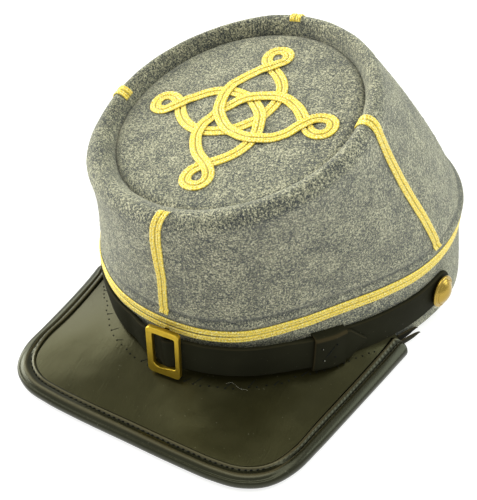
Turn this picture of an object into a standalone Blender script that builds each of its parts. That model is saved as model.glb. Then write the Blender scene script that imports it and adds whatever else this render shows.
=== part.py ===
"""Kepi cap: soft felt crown with braid, leather visor, chin strap, buckle and buttons.

The cap rests on a level surface on its hem and on the rolled edge of its visor.
Front faces -Y, the wearer's left is +X. Sizes are millimetres; meshes are built in metres.
Heights are counted from the braid ring round the cap, which lies level.
"""
import math

import bmesh
import bpy
from mathutils import Euler, Vector

MM = 0.001

# Placing: the ring stands this far above the floor, its front this far ahead of the middle.
RING_HEIGHT = 36.95
RING_FRONT = 84.6

# Outline of the cap seen from above, round a centre this far behind its front.
PLAN_CENTRE = 105.0
COLUMNS = 60
# (degrees from the front, radius at the ring on the wearer's left and right, radius at the
# hem, height of the hem)
PLAN = (
    (0.0, 103.1, 103.1, 101.5, -27.2),
    (15.0, 100.4, 101.6, 98.5, -27.8),
    (30.0, 90.8, 95.6, 91.5, -29.7),
    (45.0, 83.8, 88.4, 88.0, -31.8),
    (60.0, 82.6, 85.0, 87.5, -33.0),
    (75.0, 84.4, 85.2, 88.6, -33.9),
    (90.0, 86.2, 86.2, 91.0, -34.8),
    (105.0, 88.0, 88.0, 93.6, -35.8),
    (120.0, 90.2, 90.2, 96.0, -36.5),
    (135.0, 93.6, 93.6, 98.2, -36.7),
    (150.0, 97.0, 97.0, 100.2, -36.7),
    (165.0, 99.2, 99.2, 101.2, -36.7),
    (180.0, 99.9, 99.9, 101.8, -36.7),
)
HEM_DROP = 36.4
FELT = 2.0
GAP = 0.3

# Flat round top: centre, tilt down towards the front, tilt down towards the wearer's right.
TOP_CENTRE = Vector((-2.0, 63.2, 67.9))
TOP_TILT_FRONT = 14.7
TOP_TILT_RIGHT = 8.3
TOP_HALF_WIDTH = 53.5
TOP_HALF_FRONT = 54.3
TOP_HALF_BACK = 57.3
TOP_THICK = 1.8

# Rolled rim round the sunken top, as (out from the top's edge, above the top).
RIM = (
    (1.00, 0.20),
    (0.93, 0.45),
    (0.76, 0.72),
    (0.54, 0.82),
    (0.32, 0.70),
    (0.14, 0.38),
    (0.04, -0.05),
    (0.04, -0.42),
)
RIM_HEIGHT = 8.0
# (degrees, roll width, inward sag of the wall half way up, length of the upright at the
# ring), first round the wearer's left, then round the right
WALL_LEFT = (
    (0.0, 12.4, 0.3, 8.0),
    (45.0, 11.0, 1.6, 6.0),
    (90.0, 9.4, 2.0, 4.0),
    (135.0, 8.4, -2.2, 4.0),
    (180.0, 7.2, -0.5, 4.0),
)
WALL_RIGHT = (
    (0.0, 12.4, 0.3, 8.0),
    (45.0, 11.0, -0.6, 8.0),
    (90.0, 8.2, -2.4, 10.0),
    (135.0, 5.0, -1.5, 8.0),
    (180.0, 7.2, -0.5, 4.0),
)
# The wall stands upright this far above the ring.
WALL_FOOT = 2.8
WALL_STEPS = 6

# Flat double braid.
RING_BRAID_WIDE = 6.4
WALL_BRAID_WIDE = 5.6
KNOT_BRAID_WIDE = 5.4
BRAID_THICK = 1.3
BRAID_SECTION = (
    (-0.46, 0.00),
    (-0.48, 0.65),
    (-0.25, 1.00),
    (0.00, 0.70),
    (0.25, 1.00),
    (0.48, 0.65),
    (0.46, 0.00),
)

# Knot on the top: one quarter of the looped path, from the tip of one loop to the next tip.
KNOT_CENTRE = (1.2, 0.9)
KNOT_QUARTER = (
    (0.0, -42.6),
    (-4.3, -41.2),
    (-6.0, -37.6),
    (-4.2, -33.6),
    (0.0, -30.2),
    (4.8, -26.8),
    (9.2, -22.2),
    (12.6, -16.4),
    (14.0, -10.0),
    (13.4, -3.2),
    (11.2, 3.0),
)
KNOT_STEP = 2.7
# Which quarter lies over which: the higher number passes over. At the neck of the loop on
# the wearer's left the last two change places.
KNOT_RANK = (1, 0, 2, 3)
KNOT_NECK = 25.0
# One layer over another: rise, and the distances between paths where it is full and gone.
KNOT_LIFT = 1.55
KNOT_FLAT = 4.6
KNOT_RAMP = 7.6
# Stretch along the path that never counts as crossing itself.
KNOT_SAME = 15.0
# Height above the felt ring where the climbing braids start.
BRAID_FOOT = 6.2
# (name, degrees at the ring, degrees at the top)
BRAIDS = (
    ("front_braid", -1.75, 0.0),
    ("left_braid", 85.5, 91.0),
    ("back_braid", 178.5, 177.0),
    ("right_braid", -84.5, -91.0),
)

# Visor edge from the end on the wearer's right, round the front, to the end on the left:
# (across, behind the ring's front, degrees round the band where the same row meets the seam).
VISOR_EDGE = (
    (-74.2, 46.0, -51.0),
    (-73.6, 40.0, -48.0),
    (-72.6, 29.0, -43.5),
    (-71.8, 13.5, -38.0),
    (-71.4, -3.0, -33.0),
    (-70.2, -17.0, -29.0),
    (-64.8, -28.0, -25.0),
    (-54.6, -34.6, -20.5),
    (-42.4, -37.0, -16.0),
    (-28.8, -37.6, -11.0),
    (-14.8, -37.7, -5.5),
    (-0.8, -37.6, 0.0),
    (13.2, -37.6, 5.5),
    (27.2, -37.4, 11.0),
    (40.2, -36.8, 16.0),
    (52.4, -34.4, 20.5),
    (62.6, -28.0, 25.0),
    (69.3, -17.0, 29.0),
    (73.0, -3.0, 33.0),
    (76.5, 13.5, 38.0),
    (79.9, 30.0, 44.0),
    (83.2, 46.0, 51.5),
    (85.7, 58.5, 59.0),
    (87.3, 66.5, 64.5),
)
VISOR_PARTS = 2
VISOR_THICK = 2.0
VISOR_INSET = 3.0
VISOR_EDGE_HEIGHT = -34.3
SEAM_ABOVE_HEM = 2.2
BINDING_WIDE = 8.5
# Closed section of the binding: (inside the edge, above the middle of the leather).
BINDING_SECTION = (
    ("flange", 1.5),
    ("flange", 2.4),
    (4.0, 2.7),
    (2.0, 2.5),
    (0.6, 1.6),
    (0.0, 0.0),
    (0.6, -1.6),
    (2.0, -2.5),
    (4.0, -2.7),
    ("flange", -2.4),
    ("flange", -1.5),
    (2.7, -1.5),
    (2.7, 1.5),
)

# Loose end of the seam allowance behind each end of the visor: where it starts round the
# band, (degrees past the start, share of the full section), and the section as (out from the
# felt, height).
TAIL_LEFT = 66.2
TAIL_RIGHT = -53.2
TAIL_STATIONS = (
    (0.0, 1.0),
    (3.0, 1.0),
    (6.0, 0.9),
    (8.0, 0.6),
)
TAIL_MIDDLE = -31.0
TAIL_SECTION = (
    (0.3, -28.4),
    (1.3, -28.2),
    (1.7, -30.8),
    (3.8, -32.6),
    (3.3, -33.8),
    (0.6, -31.8),
)

# Chin strap: (degrees, height of its middle).
STRAP_LINE = (
    (0.0, -12.6),
    (15.0, -12.9),
    (30.0, -16.0),
    (45.0, -18.5),
    (60.0, -18.8),
    (75.0, -17.9),
    (90.0, -16.8),
)
SHORT_WIDE = 16.0
LONG_WIDE = 17.4
STRAP_THICK = 1.8
# (degrees, share of the full height)
SHORT_STRAP = tuple((-3.5 + 2.2 * k, 1.0) for k in range(41)) + ((88.4, 0.84), (90.8, 0.4))
LONG_STRAP = (
    ((-90.8, 0.4), (-88.4, 0.84))
    + tuple((-84.5 + 3.1 * k, 1.0) for k in range(23))
    + tuple((-13.0 + 1.1 * k, 1.0) for k in range(24))
    + tuple((14.6 + 2.3 * k, 1.0) for k in range(15))
    + ((49.8, 0.55), (52.6, 0.08))
)
KEEPER_FROM = 36.6
KEEPER_TO = 46.4
KEEPER_THICK = 1.4
KEEPER_SIDE = 0.9
KEEPER_FOOT = 0.5

# Buckle: frame, turned in its own plane, swung about the upright and leaned back as worn, and
# the bar set back behind the long strap.
BUCKLE_ACROSS = 0.3
BUCKLE_HEIGHT = -11.8
BUCKLE_TURN = 0.2
BUCKLE_SWING = 3.0
BUCKLE_LEAN = 2.0
BUCKLE_WIDE = 16.8
BUCKLE_TALL = 26.4
BUCKLE_CLEAR = 1.6
BUCKLE_RAIL = 3.0
BUCKLE_THICK = 2.2
BUCKLE_CORNERS = (2.2, 2.2, 2.2, 2.2)
WINDOW_CORNERS = (0.9, 0.9, 4.0, 0.9)
BAR_CORNERS = (0.3, 0.3, 0.3, 0.3)
BAR_WIDE = 2.4
BAR_THICK = 1.0
BAR_SET_BACK = 2.55
# The long strap rises over the bar by this much, over this many degrees to each side.
BAR_BUMP = 3.1
BAR_BUMP_HALF = 2.1

# Buttons: place round the band and half outline (radius, rise).
BUTTON_TURN = 84.5
BUTTON_PROFILE = (
    (0.0, 0.0),
    (6.6, 0.0),
    (7.7, 0.7),
    (8.0, 1.5),
    (7.6, 2.3),
    (6.9, 2.6),
    (5.4, 3.9),
    (3.6, 4.8),
    (1.8, 5.3),
    (0.0, 5.5),
)


def smooth_row(table, degrees):
    """Values of a table keyed by its first column, smoothed and mirrored at both ends."""
    keys = [row[0] for row in table]
    last = len(keys) - 1
    turn = abs((degrees + 180.0) % 360.0 - 180.0)
    step = keys[1] - keys[0]
    place = min(turn / step, last - 1e-9)
    index = int(place)
    part = place - index
    picks = (abs(index - 1), index, index + 1, min(index + 2, 2 * last - index - 2))
    result = []
    for column in range(1, len(table[0])):
        a, b, c, d = (table[i][column] for i in picks)
        bend = 2 * a - 5 * b + 4 * c - d
        twist = 3 * (b - c) + d - a
        result.append(b + 0.5 * part * (c - a + part * (bend + part * twist)))
    return result


def smoothstep(low, high, value):
    """Ease from 0 at low to 1 at high."""
    part = max(0.0, min(1.0, (value - low) / (high - low)))
    return part * part * (3.0 - 2.0 * part)


def around(degrees):
    """Level direction pointing away from the middle of the cap."""
    turn = math.radians(degrees)
    return Vector((math.sin(turn), -math.cos(turn), 0.0))


def on_right(degrees):
    """Whether a direction from the middle of the cap points to the wearer's right."""
    return (degrees + 180.0) % 360.0 < 180.0


def band_radius(degrees, height):
    """Distance from the middle of the cap to the outside of the band."""
    left, right, hem, _ = smooth_row(PLAN, degrees)
    ring = right if on_right(degrees) else left
    return ring + (hem - ring) * max(0.0, -height) / HEM_DROP


def band_point(degrees, height, out=0.0):
    """Point on the outside of the band, moved outwards by out."""
    radius = band_radius(degrees, height)
    slope = band_radius(degrees + 1.0, height) - band_radius(degrees - 1.0, height)
    slope /= math.radians(2.0)
    centre = Vector((0.0, PLAN_CENTRE, height))
    outward = around(degrees)
    along = around(degrees + 90.0)
    normal = (outward * radius - along * slope).normalized()
    return centre + outward * radius + normal * out


def top_axes():
    """Unit directions of the flat top: towards wearer's left, backwards, upwards."""
    right_tilt = math.radians(TOP_TILT_RIGHT)
    front_tilt = math.radians(TOP_TILT_FRONT)
    side = Vector((math.cos(right_tilt), 0.0, math.sin(right_tilt)))
    back = Vector((0.0, math.cos(front_tilt), math.sin(front_tilt)))
    back = (back - side * back.dot(side)).normalized()
    return side, back, side.cross(back)


def top_point(across, behind, lift):
    """Point given in the plane of the flat top."""
    side, back, up = top_axes()
    return TOP_CENTRE + side * across + back * behind + up * lift


def rim_point(degrees, out, lift):
    """Point beside the edge of the flat top, out from that edge and above it."""
    turn = math.radians(degrees)
    half_long = TOP_HALF_FRONT if math.cos(turn) > 0.0 else TOP_HALF_BACK
    across = TOP_HALF_WIDTH * math.sin(turn)
    behind = -half_long * math.cos(turn)
    away = Vector((math.sin(turn) * half_long, -math.cos(turn) * TOP_HALF_WIDTH)).normalized()
    return top_point(across + away.x * out, behind + away.y * out, lift)


def wall_profile(degrees, steps=WALL_STEPS):
    """Outside of the felt from the ring, up the wall and over the rim to the flat top."""
    table = WALL_RIGHT if on_right(degrees) else WALL_LEFT
    width, sag, upright = smooth_row(table, degrees)
    foot = band_point(degrees, 0.0)
    foot.z = WALL_FOOT
    rim = [rim_point(degrees, width * out, RIM_HEIGHT * up) for out, up in RIM]
    head = rim[0]
    inward = -around(degrees)
    low = foot + (head - foot) * 0.18 + Vector((0.0, 0.0, upright)) + inward * sag * 0.6
    high = head - (head - foot) * 0.30 + inward * sag * 1.6
    points = [Vector((foot.x, foot.y, GAP / 2.0))]
    for step in range(steps):
        t = step / steps
        s = 1.0 - t
        points.append(foot * s**3 + low * 3 * s * s * t + high * 3 * s * t * t + head * t**3)
    return points + rim


def make_object(name, mesh_data, material, home):
    """Turn a bmesh into an object of the cap with one material."""
    bmesh.ops.recalc_face_normals(mesh_data, faces=mesh_data.faces)
    mesh = bpy.data.meshes.new(name)
    place = Vector((0.0, -RING_FRONT, RING_HEIGHT))
    for vert in mesh_data.verts:
        vert.co = (vert.co + place) * MM
    mesh_data.to_mesh(mesh)
    mesh_data.free()
    mesh.materials.append(material)
    item = bpy.data.objects.new(name, mesh)
    home.objects.link(item)
    return item


def make_material(name, colour, roughness, metallic=0.0):
    """Plain Principled material."""
    material = bpy.data.materials.new(name)
    material.use_nodes = True
    shader = material.node_tree.nodes["Principled BSDF"]
    shader.inputs["Base Color"].default_value = (*colour, 1.0)
    shader.inputs["Roughness"].default_value = roughness
    shader.inputs["Metallic"].default_value = metallic
    return material


def loft(sections, closed_path):
    """Skin through equal closed sections; an open path gets flat ends."""
    data = bmesh.new()
    rows = [[data.verts.new(point) for point in section] for section in sections]
    count = len(rows[0])
    spans = len(rows) if closed_path else len(rows) - 1
    for index in range(spans):
        near = rows[index]
        far = rows[(index + 1) % len(rows)]
        for k in range(count):
            following = (k + 1) % count
            data.faces.new((near[k], near[following], far[following], far[k]))
    if not closed_path:
        data.faces.new(rows[0])
        data.faces.new(rows[-1])
    return data


def strip_sections(stations, width, section, height):
    """Sections of a strip; each station is (point, across, outward)."""
    result = []
    for point, across, outward in stations:
        result.append([point + across * (w * width) + outward * (h * height) for w, h in section])
    return result


def felt_shell(name, columns, material, home):
    """Felt sheet through columns of outside points, thickened inwards."""
    data = bmesh.new()
    grid = [[data.verts.new(point) for point in column] for column in columns]
    for j, column in enumerate(grid):
        other = grid[(j + 1) % len(grid)]
        for k in range(len(column) - 1):
            data.faces.new((column[k], other[k], other[k + 1], column[k + 1]))
    item = make_object(name, data, material, home)
    thick = item.modifiers.new("felt", "SOLIDIFY")
    thick.thickness = FELT * MM
    thick.offset = -1.0
    thick.use_even_offset = True
    return item


def build_crown(home, felt):
    """Wall of the crown with its rolled rim, and the flat top sunk inside it."""
    angles = [360.0 * j / COLUMNS for j in range(COLUMNS)]
    felt_shell("crown_side", [wall_profile(angle) for angle in angles], felt, home)
    rows = []
    for lift in (0.0, -TOP_THICK):
        rows.append([rim_point(angle, 0.0, lift) for angle in angles])
    make_object("crown_top", loft(rows, False), felt, home)


def wall_braid(name, low_degrees, high_degrees, home, gold):
    """Double braid up the wall, over the rim and down to the edge of the flat top."""
    columns = []
    steps = 2 * WALL_STEPS
    count = 1 + steps + len(RIM)
    for turn in (-1.0, 0.0, 1.0):
        column = []
        for k in range(count):
            angle = low_degrees + (high_degrees - low_degrees) * k / count
            column.append(wall_profile(angle + turn, steps)[k])
        columns.append(column)
    stations = []
    for k in range(1, count - 2):
        point = columns[1][k]
        if point.z < BRAID_FOOT:
            continue
        across = (columns[2][k] - columns[0][k]).normalized()
        outward = across.cross(columns[1][k + 1] - columns[1][k - 1]).normalized()
        stations.append((point + outward * (GAP + 0.1), across, outward))
    sections = strip_sections(stations, WALL_BRAID_WIDE, BRAID_SECTION, BRAID_THICK)
    make_object(name, loft(sections, False), gold, home)


def build_braids(home, gold):
    """Ring of braid above the band and the four braids that climb the crown."""
    stations = []
    for j in range(COLUMNS):
        angle = 360.0 * j / COLUMNS
        outward = band_point(angle, 0.0, 1.0) - band_point(angle, 0.0)
        stations.append((band_point(angle, 0.0, GAP + 0.3), Vector((0.0, 0.0, 1.0)), outward))
    sections = strip_sections(stations, RING_BRAID_WIDE, BRAID_SECTION, BRAID_THICK)
    make_object("band_braid", loft(sections, True), gold, home)
    for name, low, high in BRAIDS:
        wall_braid(name, low, high, home, gold)


def smooth_path(points, closed, parts):
    """Catmull-Rom path through points, each span cut into equal parts."""
    count = len(points)
    spans = count if closed else count - 1
    path = []
    for index in range(spans):
        if closed:
            a, b, c, d = (points[(index + k) % count] for k in (-1, 0, 1, 2))
        else:
            b, c = points[index], points[index + 1]
            a = points[index - 1] if index else b * 2.0 - c
            d = points[index + 2] if index + 2 < count else c * 2.0 - b
        for part in range(parts):
            t = part / parts
            bend = a * 2.0 - b * 5.0 + c * 4.0 - d
            twist = (b - c) * 3.0 + d - a
            path.append(b + (c - a + (bend + twist * t) * t) * (0.5 * t))
    if not closed:
        path.append(points[-1])
    return path


def even_path(path, step):
    """Closed path resampled at even distances."""
    lengths = [0.0]
    for index, point in enumerate(path):
        lengths.append(lengths[-1] + (path[(index + 1) % len(path)] - point).length)
    count = max(8, round(lengths[-1] / step))
    result = []
    index = 0
    for k in range(count):
        target = lengths[-1] * k / count
        while lengths[index + 1] < target:
            index += 1
        span = lengths[index + 1] - lengths[index]
        start = path[index]
        result.append(start.lerp(path[(index + 1) % len(path)], (target - lengths[index]) / span))
    return result


def knot_path():
    """Closed flat path of the knot, with the quarter that each of its points belongs to."""
    corners = []
    for quarter in range(4):
        turn = -math.pi / 2.0 * quarter
        cos, sin = math.cos(turn), math.sin(turn)
        mirrored = [(y, x) for x, y in reversed(KNOT_QUARTER[1:])]
        for x, y in list(KNOT_QUARTER) + mirrored:
            corners.append(Vector((x * cos - y * sin, x * sin + y * cos)))
    path = even_path(smooth_path(corners, True, 6), KNOT_STEP)
    return path, [4 * k // len(path) for k in range(len(path))]


def passes_over(first, second, quarters, path):
    """Whether the knot's braid at one point lies over its braid at another."""
    pair = (quarters[first], quarters[second])
    over = KNOT_RANK[pair[0]] > KNOT_RANK[pair[1]]
    if set(pair) == {2, 3} and path[first].length > KNOT_NECK:
        return not over
    return over


def knot_lifts(path, quarters):
    """Rise of each point of the knot above the flat top, in layers of braid."""
    count = len(path)
    lifts = [0.0] * count
    below = []
    for k in range(count):
        found = []
        for j in range(count):
            apart = abs((k - j + count // 2) % count - count // 2) * KNOT_STEP
            away = (path[k] - path[j]).length
            if apart > KNOT_SAME and away < KNOT_RAMP and passes_over(k, j, quarters, path):
                found.append((j, 1.0 - smoothstep(KNOT_FLAT, KNOT_RAMP, away)))
        below.append(found)
    for _ in KNOT_RANK:
        lifts = [max([0.0] + [share * (1.0 + lifts[j]) for j, share in row]) for row in below]
    return lifts


def build_knot(home, gold):
    """Looped knot of double braid on the flat top, passing over and under itself."""
    path, quarters = knot_path()
    lifts = knot_lifts(path, quarters)
    side, back, up = top_axes()
    stations = []
    for k, point in enumerate(path):
        ahead = path[(k + 1) % len(path)] - path[k - 1]
        across = (side * -ahead.y + back * ahead.x).normalized()
        height = GAP + lifts[k] * KNOT_LIFT
        place = top_point(KNOT_CENTRE[0] + point.x, KNOT_CENTRE[1] + point.y, height)
        stations.append((place, across, up))
    sections = strip_sections(stations, KNOT_BRAID_WIDE, BRAID_SECTION, BRAID_THICK)
    make_object("top_knot", loft(sections, True), gold, home)


def band_bottom(degrees):
    """Height of the lower edge of the band."""
    return smooth_row(PLAN, degrees)[3]


def build_band(home, felt):
    """Felt band below the ring; its front edge rises to meet the visor."""
    columns = []
    for j in range(COLUMNS):
        angle = 360.0 * j / COLUMNS
        low = band_bottom(angle)
        heights = [low + (-GAP - low) * k / 3.0 for k in range(4)]
        columns.append([band_point(angle, height) for height in heights])
    felt_shell("band", columns, felt, home)


def visor_rows():
    """Rows across the visor: edge point, level direction inwards, stretch, length, seam height."""
    edge = smooth_path([Vector(row) for row in VISOR_EDGE], False, VISOR_PARTS)
    rows = []
    for k, point in enumerate(edge):
        ahead = edge[min(k + 1, len(edge) - 1)] - edge[max(k - 1, 0)]
        inward = Vector((-ahead.y, ahead.x, 0.0)).normalized()
        seam = band_bottom(point.z) + SEAM_ABOVE_HEM
        foot = band_point(point.z, seam, GAP)
        reach = Vector((foot.x - point.x, foot.y - point.y, 0.0))
        stretch = min(2.0, 1.0 / reach.normalized().dot(inward))
        rows.append((point, reach.normalized(), stretch, reach.length, seam))
    return rows


def visor_spot(row, inside, lift):
    """Point of a visor row this far inside the edge, lifted from the middle of the leather."""
    point, inward, stretch, reach, seam = row
    along = min(inside * stretch, reach)
    part = along / reach
    height = VISOR_EDGE_HEIGHT + (seam - VISOR_EDGE_HEIGHT) * part * (0.6 + 0.4 * part * part)
    flat = point + inward * along
    return Vector((flat.x, flat.y, height + lift))


def build_visor(home, leather):
    """Visor leather and the rolled binding round its outer edge."""
    rows = visor_rows()
    half = VISOR_THICK / 2.0
    sheets = []
    bindings = []
    for row in rows:
        reach = row[3] / row[2]
        flange = min(BINDING_WIDE, reach - 0.8)
        places = [VISOR_INSET] + [flange + (reach - flange) * k / 4.0 for k in range(5)]
        top = [visor_spot(row, place, half) for place in places]
        under = [visor_spot(row, place, -half) for place in reversed(places)]
        sheets.append(top + under)
        section = []
        for inside, lift in BINDING_SECTION:
            place = flange if inside == "flange" else inside
            section.append(visor_spot(row, place, lift))
        bindings.append(section)
    make_object("visor", loft(sheets, False), leather, home)
    make_object("visor_binding", loft(bindings, False), leather, home)


def build_tail(name, start, home, leather):
    """Loose folded end of leather that sticks out behind one end of the visor."""
    sections = []
    for further, share in TAIL_STATIONS:
        degrees = start + math.copysign(further, start)
        section = []
        for out, height in TAIL_SECTION:
            out = GAP + (out - GAP) * share
            height = TAIL_MIDDLE + (height - TAIL_MIDDLE) * share
            section.append(band_point(degrees, height, out))
        sections.append(section)
    make_object(name, loft(sections, False), leather, home)


def strap_section(degrees, height, share, offset):
    """Section of a strap lying round the band, this far out from the felt."""
    middle = smooth_row(STRAP_LINE, degrees)[0]
    half = height * share / 2.0
    corners = ((-half, offset), (half, offset), (half, offset + STRAP_THICK))
    corners += ((-half, offset + STRAP_THICK),)
    return [band_point(degrees, middle + rise, out) for rise, out in corners]


def over_bar(degrees):
    """How far the long strap stands out from the felt."""
    climb = smoothstep(-13.0, -6.0, degrees)
    bar = math.degrees(BUCKLE_ACROSS / PLAN[0][1])
    bump = math.exp(-(((degrees - bar) / BAR_BUMP_HALF) ** 2))
    return GAP + climb * (GAP + STRAP_THICK) + BAR_BUMP * bump


def build_straps(home, leather):
    """Short strap from the wearer's left button, long strap from the right with its point."""
    sections = []
    for degrees, share in SHORT_STRAP:
        sections.append(strap_section(degrees, SHORT_WIDE, share, GAP))
    make_object("strap_short", loft(sections, False), leather, home)
    sections = []
    for degrees, share in LONG_STRAP:
        sections.append(strap_section(degrees, LONG_WIDE, share, over_bar(degrees)))
    make_object("strap_long", loft(sections, False), leather, home)


def build_keeper(home, leather):
    """Leather loop holding the point of the long strap, open towards the felt."""
    inner = 2.0 * (GAP + STRAP_THICK) + GAP
    outer = inner + KEEPER_THICK
    half = LONG_WIDE / 2.0 + GAP
    foot = half + KEEPER_FOOT
    high = half + KEEPER_SIDE
    shape = ((-foot, GAP), (-half, GAP), (-half, inner), (half, inner), (half, GAP))
    shape += ((foot, GAP), (high, outer - 0.5), (high - 0.5, outer))
    shape += ((-high + 0.5, outer), (-high, outer - 0.5))
    sections = []
    for k in range(5):
        degrees = KEEPER_FROM + (KEEPER_TO - KEEPER_FROM) * k / 4.0
        middle = smooth_row(STRAP_LINE, degrees)[0]
        sections.append([band_point(degrees, middle + rise, out) for rise, out in shape])
    make_object("strap_keeper", loft(sections, False), leather, home)


def rounded_box(across, high, thick, radii):
    """Upright slab; its corners' radii run from the upper one on the wearer's left."""
    data = bmesh.new()
    ring = []
    corners = ((1, 1, 0), (-1, 1, 90), (-1, -1, 180), (1, -1, 270))
    for radius, (cx, cz, first) in zip(radii, corners):
        for step in range(5):
            turn = math.radians(first + 22.5 * step)
            x = cx * (across / 2.0 - radius) + radius * math.cos(turn)
            z = cz * (high / 2.0 - radius) + radius * math.sin(turn)
            ring.append((x, z))
    front = [data.verts.new((x, -thick / 2.0, z)) for x, z in ring]
    rear = [data.verts.new((x, thick / 2.0, z)) for x, z in ring]
    data.faces.new(front)
    data.faces.new(rear)
    for k in range(len(ring)):
        following = (k + 1) % len(ring)
        data.faces.new((front[k], front[following], rear[following], rear[k]))
    return data


def build_buckle(home, cutters, brass):
    """Rectangular frame in front of the straps with a bar set back between them."""
    pose = Euler([math.radians(a) for a in (-BUCKLE_LEAN, -BUCKLE_TURN, BUCKLE_SWING)])
    side, rear, tall = pose.to_matrix().transposed()
    stand_off = 2.0 * (GAP + STRAP_THICK) + BUCKLE_CLEAR + BUCKLE_THICK / 2.0
    middle = band_point(0.0, BUCKLE_HEIGHT, stand_off)
    middle.x = BUCKLE_ACROSS
    bar_depth = BUCKLE_THICK / 2.0 + BAR_SET_BACK
    window = (BUCKLE_WIDE - 2.0 * BUCKLE_RAIL, BUCKLE_TALL - 2.0 * BUCKLE_RAIL)

    def placed(data, name, group, shift=0.0):
        for vert in data.verts:
            x, y, z = vert.co
            vert.co = middle + side * x + rear * (y + shift) + tall * z
        return make_object(name, data, brass, group)

    slab = rounded_box(BUCKLE_WIDE, BUCKLE_TALL, BUCKLE_THICK, BUCKLE_CORNERS)
    frame = placed(slab, "buckle", home)
    hole = rounded_box(*window, 3.0 * BUCKLE_THICK, WINDOW_CORNERS)
    hole = placed(hole, "buckle_window", cutters)
    block = rounded_box(BAR_WIDE, BUCKLE_TALL - 1.2, bar_depth + 0.6, BAR_CORNERS)
    staple = placed(block, "buckle_bar", cutters, (bar_depth + 0.6) / 2.0 - 0.3)
    clear = rounded_box(3.0 * BAR_WIDE, window[1] - 0.4, bar_depth - BAR_THICK + 3.0, BAR_CORNERS)
    room = placed(clear, "buckle_room", cutters, (bar_depth - BAR_THICK - 3.0) / 2.0 + 0.3)
    for order, (tool, operation) in enumerate(
        ((hole, "DIFFERENCE"), (staple, "UNION"), (room, "DIFFERENCE"))
    ):
        cut = frame.modifiers.new("step_%d" % order, "BOOLEAN")
        cut.object = tool
        cut.operation = operation
        cut.solver = "EXACT"
        tool.hide_render = True
        tool.display_type = "WIRE"


def build_button(name, degrees, home, brass):
    """Domed button standing on the end of the strap."""
    height = smooth_row(STRAP_LINE, degrees)[0]
    base = band_point(degrees, height, GAP + STRAP_THICK + GAP)
    across = (band_point(degrees + 1.0, height) - band_point(degrees - 1.0, height)).normalized()
    upright = (band_point(degrees, height + 1.0) - band_point(degrees, height - 1.0)).normalized()
    outward = across.cross(upright).normalized()
    data = bmesh.new()
    profile = [data.verts.new((radius, 0.0, rise)) for radius, rise in BUTTON_PROFILE]
    edges = [data.edges.new(pair) for pair in zip(profile, profile[1:])]
    bmesh.ops.spin(
        data,
        geom=profile + edges,
        cent=(0.0, 0.0, 0.0),
        axis=(0.0, 0.0, 1.0),
        angle=2.0 * math.pi,
        steps=28,
        use_merge=True,
    )
    bmesh.ops.remove_doubles(data, verts=data.verts, dist=0.0001)
    for vert in data.verts:
        x, y, z = vert.co
        vert.co = base + across * x + upright * y + outward * z
    make_object(name, data, brass, home)


def main():
    """Build every piece of the cap."""
    for item in list(bpy.data.objects):
        bpy.data.objects.remove(item, do_unlink=True)
    home = bpy.data.collections.new("kepi_cap")
    cutters = bpy.data.collections.new("cutters")
    bpy.context.scene.collection.children.link(home)
    bpy.context.scene.collection.children.link(cutters)
    felt = make_material("grey_felt", (0.27, 0.27, 0.23), 0.95)
    gold = make_material("gold_braid", (0.74, 0.54, 0.10), 0.55)
    leather = make_material("black_leather", (0.020, 0.019, 0.012), 0.35)
    strap = make_material("strap_leather", (0.014, 0.014, 0.010), 0.5)
    brass = make_material("brass", (0.62, 0.43, 0.10), 0.3, 1.0)
    build_crown(home, felt)
    build_braids(home, gold)
    build_knot(home, gold)
    build_band(home, felt)
    build_visor(home, leather)
    build_tail("visor_tail_left", TAIL_LEFT, home, leather)
    build_tail("visor_tail_right", TAIL_RIGHT, home, leather)
    build_straps(home, strap)
    build_keeper(home, strap)
    build_buckle(home, cutters, brass)
    build_button("button_left", BUTTON_TURN, home, brass)
    build_button("button_right", -BUTTON_TURN, home, brass)


main()
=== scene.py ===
"""Looks of the kepi cap: felt crown, gold braid, leather visor, chin strap and brass fittings.

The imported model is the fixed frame. Shapes are worked out in millimetres, with heights counted
from the ring of braid and depths from the ring's front, and meshes are placed in metres.
Front faces -Y, the wearer's left is +X.
"""
from __future__ import annotations

import logging
import math
import random
from dataclasses import dataclass, replace
from enum import Enum
from typing import Callable, Sequence

import bmesh
import bpy
from mathutils import Euler, Matrix, Vector
from mathutils.noise import noise


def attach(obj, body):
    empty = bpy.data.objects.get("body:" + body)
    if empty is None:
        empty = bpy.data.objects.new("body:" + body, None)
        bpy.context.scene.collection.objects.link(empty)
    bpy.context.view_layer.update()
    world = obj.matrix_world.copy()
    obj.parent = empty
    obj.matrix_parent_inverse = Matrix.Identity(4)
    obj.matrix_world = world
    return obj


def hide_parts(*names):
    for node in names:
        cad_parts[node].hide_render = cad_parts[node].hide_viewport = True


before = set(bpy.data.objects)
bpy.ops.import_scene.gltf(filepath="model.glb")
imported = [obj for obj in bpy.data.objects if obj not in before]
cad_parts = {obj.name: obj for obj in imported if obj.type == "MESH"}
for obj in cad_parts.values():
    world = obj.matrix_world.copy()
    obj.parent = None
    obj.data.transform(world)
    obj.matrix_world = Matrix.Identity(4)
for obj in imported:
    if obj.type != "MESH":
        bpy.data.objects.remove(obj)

log = logging.getLogger("kepi")

MM = 0.001
BODY = "root"

Colour = tuple[float, float, float]
Material = bpy.types.Material
Rows = list[list[Vector]]
Socket = bpy.types.NodeSocket
Table = tuple[tuple[float, ...], ...]
# Mark at a row and column of a mesh, for worn places and for painted shade and highlights.
WearAndLight = Callable[[int, int], float]


class Slot(Enum):
    """Names of material slots."""

    FELT = "felt"
    BRAID = "braid"
    VISOR = "visor_leather"
    STRAP = "strap_leather"
    BRASS = "brass"


class Side(Enum):
    """Side of the cap, as the wearer has it; the value signs degrees round the band."""

    LEFT = 1
    RIGHT = -1


# --- Curves and numbers ---


def smoothstep(low: float, high: float, value: float) -> float:
    """Ease from 0 at low to 1 at high."""
    part = max(0.0, min(1.0, (value - low) / (high - low)))
    return part * part * (3.0 - 2.0 * part)


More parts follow.
